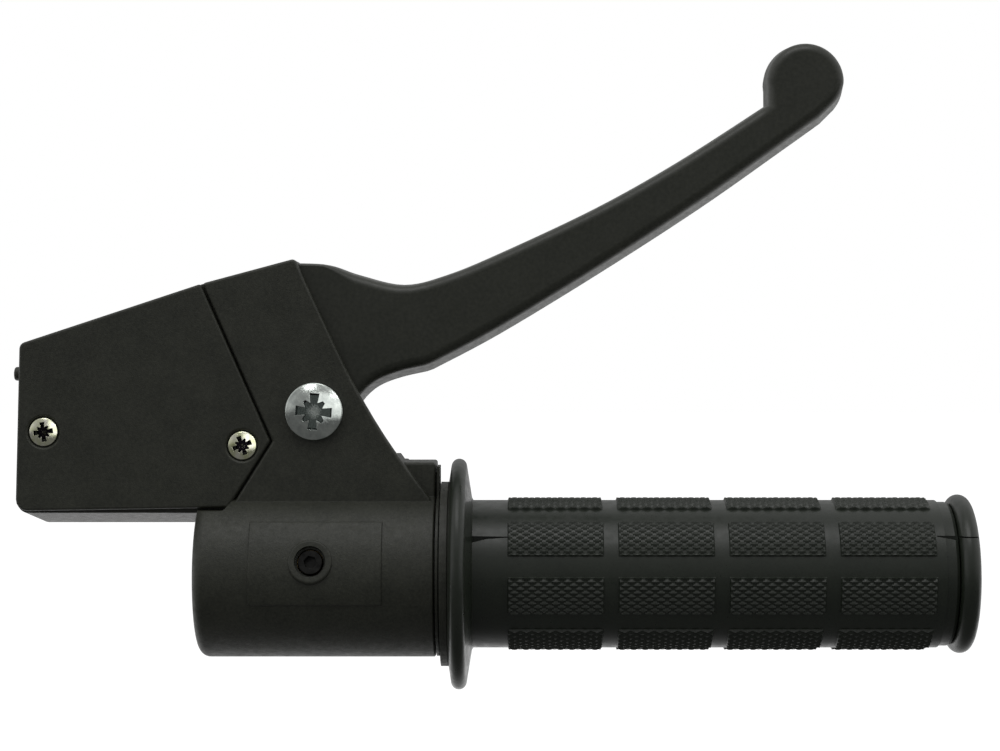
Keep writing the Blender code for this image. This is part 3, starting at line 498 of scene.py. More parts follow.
def barrel_bores():
    """The handlebar's bore and, outboard of it, the wider one for the twist drum."""
    step_x = DRUM_BORE_START
    end_x = BARREL_LENGTH + MM
    wall = [(-MM, BAR_BORE_R), (step_x, BAR_BORE_R), (step_x, DRUM_BORE_R), (end_x, DRUM_BORE_R)]
    return turned("cutter", [(-MM, 0), *wall, (end_x, 0)])


def clamp_bores():
    """The set screw's hole, narrower below its mouth, and the pocket for the threaded insert under it."""
    start_r = 8 * MM
    pocket = INSERT_TOP_R + GAP - start_r
    neck = CLAMP_NECK_TOP - start_r
    end = BARREL_R + 3 * MM - start_r
    insert_wall = [(0, INSERT_R + GAP), (pocket, INSERT_R + GAP)]
    screw_wall = [(pocket, CLAMP_NECK_R), (neck, CLAMP_NECK_R), (neck, CLAMP_HOLE_R), (end, CLAMP_HOLE_R)]
    cutter = turned("cutter", [(0, 0), *insert_wall, *screw_wall, (end, 0)], steps=48)
    return place(cutter, clamp_point(start_r), clamp_direction())


def clamp_direction():
    """Outwards along the set screw, from the handlebar's axis."""
    return Vector((0, -math.cos(CLAMP_TILT), math.sin(CLAMP_TILT)))


def clamp_point(radius):
    return Vector((CLAMP_X, 0, 0)) + clamp_direction() * radius


def clamp_panel():
    """A curved pad round the set screw's boss, slightly proud of the barrel."""
    half = PANEL_LENGTH / 2
    side = PANEL_HEIGHT / 2
    start = PANEL_CENTRE_X - half
    panel = box("panel", (start, -2 * BARREL_R, -side), (start + PANEL_LENGTH, -8 * MM, side))
    panel.data.transform(Matrix.Rotation(-CLAMP_TILT, 4, "X"))
    top_r = BARREL_R + PANEL_RISE
    ends = (-MM, BARREL_LENGTH + MM)
    outer_wall = [(ends[0], top_r), (ends[0], 3 * BARREL_R), (ends[1], 3 * BARREL_R), (ends[1], top_r)]
    return cut(panel, turned("outside", outer_wall))


# ---- housing and cover


def plate_outline():
    """The fixed part of the housing's front, from the cover's seam to the slanted edge."""
    seam_gap = 0.42 * MM
    seam_point = (COVER_SEAM_POINT[0] + seam_gap, COVER_SEAM_POINT[1])
    seam_foot = (COVER_SEAM_FOOT[0] + seam_gap, COVER_SEAM_FOOT[1] - 0.2 * MM)
    seam_top = (COVER_SEAM_TOP[0] + seam_gap, COVER_SEAM_TOP[1] + 0.12 * MM)
    below = 10 * MM
    inner = [seam_top, seam_point, seam_foot, (seam_foot[0], below), (EAR_FOOT[0], below)]
    return [*reversed(ear_edge()), *top_corner(5), *inner]


def round_lower_corner(body):
    """Rounds the edge between the box's left wall and its underside."""
    shape = bmesh.new()
    shape.from_mesh(body.data)
    left_of = BOX_BOTTOM_LEFT[0] + MM
    below = BOX_BOTTOM_FRONT_Z + 2 * MM
    corner = [
        edge
        for edge in shape.edges
        if all(vertex.co.x < left_of and vertex.co.z < below for vertex in edge.verts)
        and abs(edge.verts[0].co.y - edge.verts[1].co.y) > WALL
    ]
    bmesh.ops.bevel(shape, geom=corner, offset=BOX_CORNER_R, segments=12, profile=0.5, affect="EDGES")
    shape.to_mesh(body.data)
    shape.free()
    return body


def make_barrel():
    """The clamp barrel, solid, with its rims rounded."""
    fillet = BARREL_RIM_FILLET
    turn = [math.pi / 2 * i / 8 for i in range(9)]
    rim = [(fillet - fillet * math.cos(a), BARREL_R - fillet + fillet * math.sin(a)) for a in turn]
    far_edge = BARREL_LENGTH - BARREL_FAR_CHAMFER
    far_rim = [(far_edge, BARREL_R), (BARREL_LENGTH, BARREL_R - BARREL_FAR_CHAMFER)]
    return turned("moped_housing", [(0, 0), *rim, *far_rim, (BARREL_LENGTH, 0)])


def make_box():
    """The box behind the cover, solid, up to the shelf that the cover lies on."""
    body = cut(prism("body", box_outline(), SHELF_Y, BACK_Y), bottom_slope(), back_ear_relief())
    round_lower_corner(body)
    return soften(body, 0.7 * MM)


def make_block():
    """Joins the barrel to the box, round the slider's channel."""
    low = (BLOCK_START_X, BLOCK_FRONT_Y, BLOCK_BOTTOM_Z)
    return soften(box("block", low, (BARREL_LENGTH, BLOCK_BACK_Y, BLOCK_TOP_Z)), 0.6 * MM)


def make_nose():
    """The small stud on the left wall."""
    start = BOX_TOP_LEFT[0] + MM
    nose = rod("nose", NOSE_R, (start, 0, NOSE_Z), left_wall_normal(), start - NOSE_TIP_X)
    return soften(nose, 0.5 * MM)


def add_screw_post(housing, x, z):
    """A post for a cover screw, from the cover's shelf into the back wall, with its blind hole."""
    length = BACK_Y - WALL + 0.5 * MM - SHELF_Y
    join(housing, rod("post", POST_R, (x, SHELF_Y, z), TO_BACK, length))
    hole_start = (x, SHELF_Y - MM, z)
    cut(housing, rod("cutter", COVER_SHANK_R + GAP, hole_start, TO_BACK, length - POST_FLOOR, steps=24))


def clamp_boss():
    """The low round boss at the set screw's mouth."""
    height = CLAMP_BOSS_TOP - CLAMP_BOSS_ROOT
    boss = rod("boss", CLAMP_BOSS_R, clamp_point(CLAMP_BOSS_ROOT), clamp_direction(), height, steps=64)
    return soften(boss, 0.5 * MM, 4)


def pivot_bores():
    """The pivot screw's hole through both ears, and the nut's hexagonal pocket in the rear one."""
    hole = rod("cutter", PIVOT_SCREW_R + GAP, (PIVOT[0], FRONT_Y - MM, PIVOT[1]), TO_BACK, 30 * MM)
    corner_r = (NUT_ACROSS_FLATS + 2 * GAP) / math.sqrt(3)
    hexagon = arc_points(PIVOT, corner_r, 0, 2 * math.pi, 6)[:-1]
    return hole, prism("cutter", hexagon, NUT_POCKET_FLOOR_Y, BACK_Y + MM)


def make_housing():
    plate = soften(prism("plate", plate_outline(), FRONT_Y, SLOT_FRONT_Y + 1.6 * MM), 0.6 * MM, 4)
    panel = soften(clamp_panel(), 0.22 * MM)
    housing = join(make_barrel(), make_box(), plate, make_block(), make_nose(), panel)
    cut(housing, cover_foot_relief(), cable_compartment(), lever_slot(), *slider_channel())
    for x, z in COVER_SCREWS.values():
        add_screw_post(housing, x, z)
    join(housing, clamp_boss())
    cut(housing, barrel_bores(), clamp_bores())
    for y, z in ((LEVER_Y, BRAKE_CABLE_Z), (0, THROTTLE_CABLE_Z)):
        hole_start = (BOX_BOTTOM_LEFT[0] - MM, y, z)
        cut(housing, rod("cutter", CABLE_HOLE_R, hole_start, (1, 0, 0), 6 * MM, steps=40))
    cut(housing, *pivot_bores())
    return smooth(housing)


def cover_foot_relief():
    """Lets the cover's lower corner into the barrel."""
    gap = 0.4 * MM
    low = COVER_LEFT_FOOT[1] + 0.2 * MM
    corners = [
        (-0.4 * MM, low, 0),
        (COVER_SEAM_FOOT[0] - 0.8 * MM, low, 1.5 * MM),
        (COVER_SEAM_FOOT[0] + 2.4 * MM, COVER_SEAM_FOOT[1] + 3.6 * MM, 0),
        (-0.4 * MM, COVER_SEAM_FOOT[1] + 3.6 * MM, 0),
    ]
    return prism("cutter", round_corners(corners), -2 * BARREL_R, FRONT_Y + COVER_THICKNESS + gap)


def make_cover():
    """The cover, with a flared seat and a hole for each screw."""
    cover = prism("moped_cable_cover", cover_outline(), FRONT_Y, FRONT_Y + COVER_THICKNESS)
    soften(cover, 0.7 * MM, 4)
    for x, z in COVER_SCREWS.values():
        start = Vector((x, FRONT_Y - MM, z))
        wide = COVER_HEAD_R + 0.75 * MM
        narrow = COVER_HEAD_R + 0.3 * MM
        floor = MM + COVER_HEAD_SEAT
        wall = [(0, wide), (MM, wide - 0.05 * MM), (MM + 0.35 * MM, narrow), (floor, narrow)]
        seat = turned("cutter", [(0, 0), *wall, (floor, 0)], steps=64)
        place(seat, start, TO_BACK)
        hole = rod("cutter", COVER_SHANK_R + GAP, start, TO_BACK, 2 * COVER_THICKNESS)
        cut(cover, seat, hole)
    return smooth(cover)


# ---- lever

PARTING_DEPTH = 0.12 * MM


def curved(points):
    """A curve through points in millimetres."""
    return smooth_through(in_mm(points), OUTLINE_STEPS)


def lever_outline():
    """Along the fingers' side, round the knob, back along the grip's side and round the pivot."""
    finger_side = curved([
        (21.1, 67.5), (28.0, 67.1), (34.4, 65.0), (44.0, 62.9), (53.2, 65.0),
        (64.9, 69.8), (85.9, 79.7), (104.0, 89.9), (122.5, 101.8),
    ])
    knob = arc_points(KNOB_CENTRE, KNOB_R, math.radians(188), math.radians(-40), 48)
    grip_side = curved([
        (134.6, 98.0), (126.2, 92.0), (108.5, 79.55), (86.7, 65.45), (64.9, 52.2), (50.4, 44.5),
    ])
    throat = curved([(49.0, 44.0), (43.5, 42.75), (38.9, 41.0), (35.8, 38.5), (33.9, 35.6)])
    boss = arc_points(PIVOT, LEVER_BOSS_R, math.radians(-15), math.radians(-190), 24)
    cable_arm = in_mm([(15.3, 48.5), (14.6, 56.0), (15.6, 60.8), (21.0, 64.2)])
    return finger_side + knob + grip_side + throat + boss + cable_arm


def inward_steps(outline):
    """For each corner, the step that moves its two edges inwards by 1."""
    points = [Vector(point) for point in outline]
    following = points[1:] + points[:1]
    side = 1 if sum(a.cross(b) for a, b in zip(points, following)) > 0 else -1
    steps = []
    for i, point in enumerate(points):
        arriving = (point - points[i - 1]).normalized()
        leaving = (following[i] - point).normalized()
        inward = Vector((-arriving.y - leaving.y, arriving.x + leaving.x)) * side
        steps.append(inward.normalized() / max(0.6, inward.length / 2))
    return steps


def rim_share(x):
    """Full rounding on the blade and knob, less on the part that stays inside the housing."""
    return min(1.0, max(0.3, (x - 24 * MM) / (10 * MM)))


def round_rimmed(name, outline, y_start, y_end, rim):
    """A plate along Y. The rim gives its cross-section's edge as (share of thickness, inset) points."""
    shape = bmesh.new()
    inward = inward_steps(outline)
    rings = []
    for depth_share, inset in rim:
        y = y_start + (y_end - y_start) * depth_share
        ring = []
        for (x, z), step in zip(outline, inward):
            move = step * ((inset + lean_in(step, depth_share)) * rim_share(x))
            ring.append(shape.verts.new((x + move.x, y, z + move.y)))
        rings.append(ring)
    for near, far in zip(rings, rings[1:]):
        bridge(shape, near, far)
    shape.faces.new(rings[0])
    shape.faces.new(rings[-1])
    return object_from(name, shape)


def drafted_rim(steps):
    """A rim with rounded edges, whose sides lean in from the lever's mid-plane to both faces."""
    angles = [math.pi / 2 * i / steps for i in range(steps + 1)]
    share = LEVER_ROUNDING / LEVER_THICKNESS
    front = [(share * (1 - math.cos(a)), LEVER_DRAFT + LEVER_ROUNDING * (1 - math.sin(a))) for a in angles]
    back = [(1 - depth_share, inset) for depth_share, inset in reversed(front)]
    return [*front, (0.5, 0.0), *back]


def lean_in(inward, depth_share):
    """How much further than its upper side the lever's lower side leans in at this depth."""
    down = max(0.0, inward.normalized().y)
    return LEVER_LOWER_DRAFT * down * abs(2 * depth_share - 1)


def parted_rim(steps):
    """The lever's rounded rim, with the mould's parting line in its middle."""
    rim = drafted_rim(steps)
    middle = len(rim) // 2
    line = [(0.493, 0.0), (0.4955, PARTING_DEPTH), (0.5045, PARTING_DEPTH), (0.507, 0.0)]
    return rim[:middle] + line + rim[middle + 1 :]


def make_lever():
    """The lever, with its bush's bore and the seat and slot that take the cable."""
    front = LEVER_Y - LEVER_THICKNESS / 2
    back = front + LEVER_THICKNESS
    lever = round_rimmed("moped_brake_lever", lever_outline(), front, back, parted_rim(9))
    through = LEVER_THICKNESS + 2 * MM
    bore = rod("cutter", BUSH_R + GAP, (PIVOT[0], front - MM, PIVOT[1]), TO_BACK, through)
    seat_start = (NIPPLE_SEAT[0], front - MM, NIPPLE_SEAT[1])
    seat = rod("cutter", NIPPLE_SEAT_R, seat_start, TO_BACK, LEVER_THICKNESS - NIPPLE_SEAT_FLOOR)
    half = CABLE_SLOT_HALF_WIDTH
    slot_low = (NIPPLE_SEAT[0] - 9 * MM, front - MM, NIPPLE_SEAT[1] - half)
    slot_high = (NIPPLE_SEAT[0], LEVER_Y + half, NIPPLE_SEAT[1] + half)
    cut(lever, bore, seat, box("cutter", slot_low, slot_high))
    return smooth(lever, 40)


# ---- screws

CROWN_SHARES = (0.1, 0.25, 0.4, 0.52, 0.63, 0.74, 0.84, 0.93)  # of the head's radius
RIM_SHARE = 0.07
DRIVER_ARM = (1.0, 0.27)  # length and half width, as shares of the recess's reach
DRIVER_RIB = (0.76, 0.08)
DRIVER_NOTCH = 0.5
DRIVER_WEAR = 1.05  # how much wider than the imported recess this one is
PIVOT_RECESS_DEPTH = 1.8 * MM
COVER_RECESS_DEPTH = 1.3 * MM
RECESS_TAPER = 0.2


def driver_star(centre, reach, turn):
    """Outline of a cross-head recess: four wide arms with four thin ribs between them."""
    outline = []
    for arm in range(8):
        angle = math.radians(45 * arm) + turn
        share, half_width = DRIVER_ARM if arm % 2 == 0 else DRIVER_RIB
        along = Vector((math.cos(angle), math.sin(angle))) * reach
        across = Vector((-math.sin(angle), math.cos(angle))) * reach
        outline.append(Vector(centre) + along * share - across * half_width)
        outline.append(Vector(centre) + along * share + across * half_width)
        notch = angle + math.radians(22.5)
        outline.append(Vector(centre) + Vector((math.cos(notch), math.sin(notch))) * DRIVER_NOTCH * reach)
    return outline


def pan_head(name, head_r, head_height, shank_r, length, top, recess):
    """A pan-head screw along +Y; top is the middle of its head, recess its (reach, depth, turn)."""
    reach, depth, turn = recess
    crown = [(0.42 * head_height * share**2.6, head_r * share) for share in CROWN_SHARES]
    rim_start = crown[-1][0]
    for degrees in (30, 45, 60, 75, 90):
        turn_out = math.radians(degrees)
        along = rim_start + RIM_SHARE * head_r * (1 - math.cos(turn_out))
        crown.append((along, head_r * (1 - RIM_SHARE + RIM_SHARE * math.sin(turn_out))))
    under = [(0.9 * head_height, head_r), (head_height, head_r * 0.97), (head_height, shank_r)]
    tip = [(length - 0.6 * MM, shank_r), (length, shank_r * 0.6), (length, 0)]
    screw = turned(name, [(0, 0), *crown, *under, *tip], steps=72)
    place(screw, top, TO_BACK)
    star = driver_star((top[0], top[2]), reach, turn)
    cutter = prism("cutter", star, top[1] - depth, top[1] + depth)
    taper_recess(cutter, Vector(top), depth)
    cut(screw, cutter)
    return smooth(screw, 40)


def taper_recess(recess, top, depth):
    """Narrows the cutter towards its bottom, as a driver's point does."""
    for vertex in recess.data.vertices:
        down = max(0.0, (vertex.co.y - top.y) / depth)
        shrink = 1 - RECESS_TAPER * down
        vertex.co.x = top.x + (vertex.co.x - top.x) * shrink
        vertex.co.z = top.z + (vertex.co.z - top.z) * shrink


def make_pivot_screw():
    top = (PIVOT[0], FRONT_Y - GAP - PIVOT_HEAD_HEIGHT, PIVOT[1])
    length = PIVOT_SCREW_END_Y - top[1]
    shape = (PIVOT_HEAD_R, PIVOT_HEAD_HEIGHT, PIVOT_SCREW_R, length)
    recess = (PIVOT_DRIVER_REACH * DRIVER_WEAR, PIVOT_RECESS_DEPTH, PIVOT_DRIVER_TURN)
    return pan_head("moped_pivot_screw", *shape, top, recess)


def make_cover_screw(node):
    x, z = COVER_SCREWS[node]
    top = (x, FRONT_Y - 0.25 * MM, z)
    shape = (COVER_HEAD_R, 0.95 * MM, COVER_SHANK_R, COVER_SCREW_LENGTH)
    recess = (COVER_DRIVER_REACH * DRIVER_WEAR, COVER_RECESS_DEPTH, COVER_DRIVER_TURNS[node])
    return pan_head("moped_" + node, *shape, top, recess)


# ---- rubber grip

DIAMONDS_ROUND_PAD = 5
DIAMONDS_ALONG_PAD = 8
STEPS_PER_DIAMOND = 6
PAD_FOOT = 0.2 * MM
DIAMOND_HEIGHT = 0.4 * MM
SEAM_Z = 8.95 * MM  # height of the mould's parting line at rest
SEAM_DEPTH = 0.9 * MM
DIAMOND_STEEPNESS = 1.4  # above 1 their tops are flat
PADS_END_X = 157.6 * MM  # just past the last pads
NECK_X = (158.4 * MM, 159.6 * MM)  # where the grip narrows before its bead
FLANGE_FACE_GAP = 0.06 * MM  # between the grip's flange and the tube's
STEPS_BETWEEN_ROWS = 7
STEPS_BETWEEN_COLUMNS = 3


def triangle_wave(turns):
    """0 on each whole number and 1 halfway between."""
    return 1 - np.abs(2 * (turns % 1) - 1)


def pad_stations(first, pitch, pads, length, diamonds, slope, gap_steps):
    """Stations over a line of pads, each with its place on its pad in diamonds, or NaN between pads."""
    stations = []
    gap = pitch - length - 2 * slope
    for pad in range(pads):
        start = first + pad * pitch
        stations.append((start - slope, math.nan))
        for step in range(diamonds * STEPS_PER_DIAMOND + 1):
            on_pad = step / STEPS_PER_DIAMOND
            stations.append((start + length / diamonds * on_pad, on_pad))
        for step in range(gap_steps):
            stations.append((start + length + slope + gap * step / gap_steps, math.nan))
    return stations


def row_stations():
    """Angles round the grip, with their places across the pads."""
    first = PAD_ROW_CENTRE - PAD_ARC / 2
    pitch = 2 * math.pi / PAD_ROWS
    slope = PAD_SLOPE / GRIP_R
    return pad_stations(first, pitch, PAD_ROWS, PAD_ARC, DIAMONDS_ROUND_PAD, slope, STEPS_BETWEEN_ROWS)


def column_stations():
    """Places along the grip, with their places along the pads."""
    pads = (PAD_FIRST_X, PAD_PITCH, PAD_COLUMNS, PAD_LENGTH)
    return pad_stations(*pads, DIAMONDS_ALONG_PAD, PAD_SLOPE, STEPS_BETWEEN_COLUMNS)


def flange_profile():
    """Outside of the grip's flange as (x, radius), from its inboard face to the grip's body."""
    inboard = TUBE_FLANGE_X[1] + FLANGE_FACE_GAP
    outboard = GRIP_START_X + GRIP_FLANGE_THICKNESS
    rim_centre = (GRIP_RIM_X, GRIP_FLANGE_R - GRIP_RIM_ROUNDING)
    rim = arc_points(rim_centre, GRIP_RIM_ROUNDING, math.radians(175), math.radians(10), 16)
    hub = [(inboard, GRIP_BORE_R), (inboard, TUBE_FLANGE_R)]
    return [*hub, *rim, (outboard - 0.1 * MM, GRIP_R + 0.6 * MM), (outboard + 0.2 * MM, GRIP_R)]


def grip_sections():
    """(x, radius, place along a pad) down the outside of the grip and across its outer end."""
    outside = flange_profile()
    run = [(x, GRIP_R) for x in np.linspace(outside[-1][0] + 0.5 * MM, PAD_FIRST_X - MM, 8)]
    sections = [(x, r, math.nan) for x, r in [*outside, *run]]
    sections += [(x, GRIP_R, along) for x, along in column_stations()]
    bead_r = GRIP_BEAD_WIDTH / 2
    bead_centre = (GRIP_END_X - bead_r, GRIP_BEAD_R - bead_r)
    foot_x = bead_centre[0] - bead_r
    bead = arc_points(bead_centre, bead_r, math.radians(200), 0, 16)
    neck = [(NECK_X[0], GRIP_R - 0.1 * MM), (NECK_X[1], GRIP_R - 0.4 * MM)]
    neck += [(foot_x - 0.9 * MM, GRIP_R - 0.4 * MM), (foot_x - 0.25 * MM, GRIP_R - 0.75 * MM)]
    dome = [(GRIP_END_X, GRIP_BEAD_R * share) for share in (0.84, 0.78)]
    dish = [(GRIP_END_X - 0.6 * MM, GRIP_BEAD_R * share) for share in (0.72, 0.5, 0.25)]
    sections += [(x, r, math.nan) for x, r in [*neck, *bead, *dome, *dish]]
    return sections


def cut_parting_wedges(grip):
    """Opens the mould's parting line where it gapes: by the flange and by the bead."""
    flange_x = GRIP_START_X + GRIP_FLANGE_THICKNESS + 0.2 * MM
    pad_x = PAD_FIRST_X - 0.2 * MM
    by_flange = [(flange_x, SEAM_Z - 1.2 * MM), (flange_x + 3 * MM, SEAM_Z - 0.5 * MM)]
    by_flange += [(pad_x, SEAM_Z - 0.2 * MM), (pad_x, SEAM_Z), (flange_x, SEAM_Z + 0.1 * MM)]
    bead_x = GRIP_END_X - GRIP_BEAD_WIDTH
    end_x = GRIP_END_X + MM
    by_bead = [(PADS_END_X, SEAM_Z), (bead_x, SEAM_Z - 0.9 * MM), (bead_x, SEAM_Z - 0.2 * MM)]
    by_bead += [(end_x, SEAM_Z - 0.2 * MM), (end_x, SEAM_Z), (PADS_END_X, SEAM_Z + 0.2 * MM)]
    floor_y = SEAM_DEPTH - math.sqrt(GRIP_R**2 - SEAM_Z**2)
    for outline in (by_flange, by_bead):
        cut(grip, prism("cutter", outline, -GRIP_R - 8 * MM, floor_y))


def pad_lift(along, across):
    """How far each point of a ring stands out, from its place along and across its pad in diamonds."""
    lift = np.zeros(len(across))
    if not math.isnan(along):
        on_pad = ~np.isnan(across)
        left = triangle_wave(along + across[on_pad])
        right = triangle_wave(along - across[on_pad])
        diamond = np.clip(DIAMOND_STEEPNESS * np.minimum(left, right), 0, 1)
        lift[on_pad] = PAD_FOOT + DIAMOND_HEIGHT * diamond
    return lift


def ring_points(x, radius, angles):
    return np.column_stack([np.full(len(angles), x), -radius * np.cos(angles), radius * np.sin(angles)])


def make_grip():
    """One skin of rings: down the outside, closed at the outer end, and back inside as the bore."""
    angles, across = np.array(row_stations()).T
    sections = grip_sections()
    rings = [ring_points(x, radius + pad_lift(along, across), angles) for x, radius, along in sections]
    rings.append(ring_points(GRIP_END_X - GRIP_END_WALL, GRIP_BORE_R, angles))
    count = len(angles)
    outer = len(sections)
    faces = []
    for ring in range(outer - 1):
        faces += ring_faces(ring * count, (ring + 1) * count, count)
    faces.append([(outer - 1) * count + i for i in range(count)])
    faces += ring_faces(outer * count, 0, count)
    faces.append([outer * count + i for i in range(count)])
    mesh = bpy.data.meshes.new("moped_grip_rubber")
    mesh.from_pydata(np.vstack(rings).tolist(), [], faces)
    grip = add_object("moped_grip_rubber", mesh)
    shape = bmesh.new()
    shape.from_mesh(mesh)
    bmesh.ops.recalc_face_normals(shape, faces=shape.faces)
    shape.to_mesh(mesh)
    shape.free()
    cut_parting_wedges(grip)
    return smooth(grip, 28)


def ring_faces(near, far, count):
    """A band of faces between two rings, each given by the index of its first point."""
    following = [(i + 1) % count for i in range(count)]
    return [[near + i, near + j, far + j, far + i] for i, j in enumerate(following)]


# ---- materials


def feed(tree, socket, value):
    """Links another node's output to the socket, or sets the socket to a value."""
    if isinstance(value, bpy.types.NodeSocket):
        tree.links.new(value, socket)
    else:
        socket.default_value = value


def add_node(tree, kind, inputs, **settings):
    """A new shader node with its settings, and its inputs fed by name or number."""
    node = tree.nodes.new("ShaderNode" + kind)
    for name, setting in settings.items():
        setattr(node, name, setting)
    for name, value in inputs.items():
        feed(tree, node.inputs[name], value)
    return node


def map_range(tree, value, start, end, low, high, **settings):
    """Maps a value between start and end to one between low and high."""
    inputs = {"Value": value, "From Min": start, "From Max": end, "To Min": low, "To Max": high}
    return add_node(tree, "MapRange", inputs, **settings).outputs["Result"]


class Nodes:
    """A material's node tree, with short ways to add noise, ramps and bumps."""

    def __init__(self, name):
        self.material = bpy.data.materials.new(name)
        self.material.use_nodes = True
        self.tree = self.material.node_tree
        self.place = self.add("TexCoord", {}).outputs["Object"]

    def add(self, kind, inputs, **settings):
        return add_node(self.tree, kind, inputs, **settings)

    def noise(self, grain, detail=3.0, roughness=0.5, stretch=None):
        """Noise whose features measure about grain metres."""
        where = self.place
        if stretch:
            where = self.add("Mapping", {"Scale": stretch, "Vector": where}).outputs["Vector"]
        inputs = {"Scale": 1 / grain, "Detail": detail, "Roughness": roughness, "Vector": where}
        return self.add("TexNoise", inputs).outputs["Fac"]

    def speckled(self, tone, grain, share):
        """The tone with fine speckles of the given grain mixed in."""
        return self.add("Mix", {0: share, 2: tone, 3: self.noise(grain, 1)}).outputs[0]

    def ramp(self, value, low, high, start=0.3, end=0.7):
        """Maps a value between start and end to one between two numbers or two colours."""
        if isinstance(low, (int, float)):
            return map_range(self.tree, value, start, end, low, high)
        node = self.add("ValToRGB", {"Fac": value})
        elements = node.color_ramp.elements
        for i, (position, colour) in enumerate(((start, low), (end, high))):
            elements[i].position = position
            elements[i].color = (*colour, 1)
        return node.outputs["Color"]

    def bump(self, height, depth, strength=1.0, after=None):
        """A normal tilted by the height, applied after another one if that's given."""
        inputs = {"Distance": depth, "Strength": strength, "Height": height}
        if after:
            inputs["Normal"] = after
        return self.add("Bump", inputs).outputs["Normal"]

    def rounded_edges(self, radius):
        return self.add("Bevel", {"Radius": radius}, samples=4).outputs["Normal"]

    def painted_shade_in_hollows(self, colour, reach, hollow):
        """The colour, turning into another where other surfaces stand close around: painted shade in
        recesses, found by ambient occlusion.
        """
        open_air = self.add("AmbientOcclusion", {"Distance": reach}, samples=8, only_local=True)
        share = self.ramp(open_air.outputs["AO"], 0.0, 1.0, 0.75, 0.97)
        return self.add("Mix", {0: share, 6: (*hollow, 1), 7: colour}, data_type="RGBA").outputs[2]

    def set(self, **sockets):
        """Feeds the shader's sockets, whose names have spaces where these have underscores."""
        shader = self.tree.nodes["Principled BSDF"]
        for name, value in sockets.items():
            feed(self.tree, shader.inputs[name.replace("_", " ")], value)


def moulded_nylon():
    nodes = Nodes("moulded_nylon")
    tone = nodes.speckled(nodes.noise(6 * MM, 4), 0.6 * MM, 0.55)
    nodes.set(
        Base_Color=nodes.ramp(tone, (0.0125, 0.0145, 0.0085), (0.0335, 0.0355, 0.025)),
        Roughness=nodes.ramp(nodes.noise(1.4 * MM), 0.42, 0.56),
    )
    grain = nodes.bump(nodes.noise(0.32 * MM, 3, 0.7), 0.08 * MM, 1.0, nodes.rounded_edges(0.22 * MM))
    nodes.set(Normal=nodes.bump(nodes.noise(5 * MM, 1), 0.05 * MM, 0.35, grain))
    return nodes.material


def lever_plastic():
    nodes = Nodes("lever_plastic")
    tone = nodes.speckled(nodes.noise(9 * MM, 3), 0.8 * MM, 0.6)
    streaks = nodes.noise(2 * MM, 3, 0.6, (1, 1, 3))
    nodes.set(
        Base_Color=nodes.ramp(tone, (0.0165, 0.019, 0.0125), (0.0335, 0.0355, 0.0265)),
        Roughness=nodes.ramp(streaks, 0.34, 0.46),
    )
    grain = nodes.bump(nodes.noise(0.35 * MM, 2, 0.6), 0.018 * MM, 0.4)
    nodes.set(Normal=nodes.bump(nodes.noise(7 * MM, 1), 0.06 * MM, 0.3, grain))
    return nodes.material


def grip_rubber():
    nodes = Nodes("grip_rubber")
    bloom = nodes.speckled(nodes.noise(8 * MM, 5, 0.6), 0.5 * MM, 0.4)
    nodes.set(
        Base_Color=nodes.ramp(bloom, (0.0115, 0.0155, 0.0105), (0.0195, 0.0245, 0.017)),
        Roughness=nodes.ramp(nodes.noise(1.8 * MM, 4), 0.27, 0.42),
        Specular_IOR_Level=0.45,
    )
    grain = nodes.bump(nodes.noise(0.22 * MM, 2, 0.6), 0.02 * MM, 0.5)
    nodes.set(Normal=nodes.bump(nodes.noise(3 * MM, 2), 0.05 * MM, 0.35, grain))
    return nodes.material


def plated_steel(name, dark, light, hollow):
    # hollow is the painted shade colour that the base colour turns to in recesses
    nodes = Nodes(name)
    patches = nodes.noise(1.6 * MM, 4, 0.6)
    brushed = nodes.noise(0.25 * MM, 3, 0.6, (1, 1, 6))
    nodes.set(
        # painted shade: the base colour darkens towards the hollow colour in the driver recesses, where
        # shade falls
        Base_Color=nodes.painted_shade_in_hollows(nodes.ramp(patches, dark, light), 4 * MM, hollow),
        Metallic=1.0,
        Roughness=nodes.ramp(nodes.noise(0.6 * MM, 3), 0.08, 0.22),
    )
    nodes.set(Normal=nodes.bump(brushed, 0.012 * MM, 0.5, nodes.rounded_edges(0.08 * MM)))
    return nodes.material


def plain_solid(name, dark, light, roughness, metallic):
    nodes = Nodes(name)
    nodes.set(
        Base_Color=nodes.ramp(nodes.noise(2 * MM, 4), dark, light),
        Metallic=metallic,
        Roughness=nodes.ramp(nodes.noise(0.8 * MM, 3), roughness - 0.07, roughness + 0.07),
    )
    nodes.set(Normal=nodes.bump(nodes.noise(0.3 * MM, 2), 0.015 * MM, 0.4, nodes.rounded_edges(0.1 * MM)))
    return nodes.material


def finish_packed_node(node, material, edge):
    """Material and, unless edge is 0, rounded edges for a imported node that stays."""
    obj = frame["nodes"][node]
    put_material(obj, material)
    shade_smooth(obj, 30)
    if edge:
        flat = obj.modifiers.new("join_flat_faces", "DECIMATE")
        flat.decimate_type = "DISSOLVE"
        flat.angle_limit = math.radians(1)
        add_bevel(obj, edge, 3, 40).harden_normals = True


# ---- stage, light and camera

CAMERA_DISTANCE = 0.5
VIEW_WIDTH = 0.2177
VIEW_CENTRE = Vector((68.6 * MM, 0, 43.1 * MM))
FLOOR_Z = -62 * MM
# How brightly the floor lights the object: dim in front, and growing from START_Y to END_Y behind it
FLOOR_IN_FRONT = 0.075
FLOOR_BEHIND = 1.0
FLOOR_START_Y = 0.01
FLOOR_END_Y = 0.09
FLOOR_SIDE_SHARE = 0.15  # how much of that comes with distance to the sides
# How brightly the light tent lights it, from each direction
TENT_AROUND = 0.06
TENT_SIDES = 0.5
TENT_HORIZON = 0.28
TENT_ABOVE = 0.3
TENT_BEHIND = 0.12


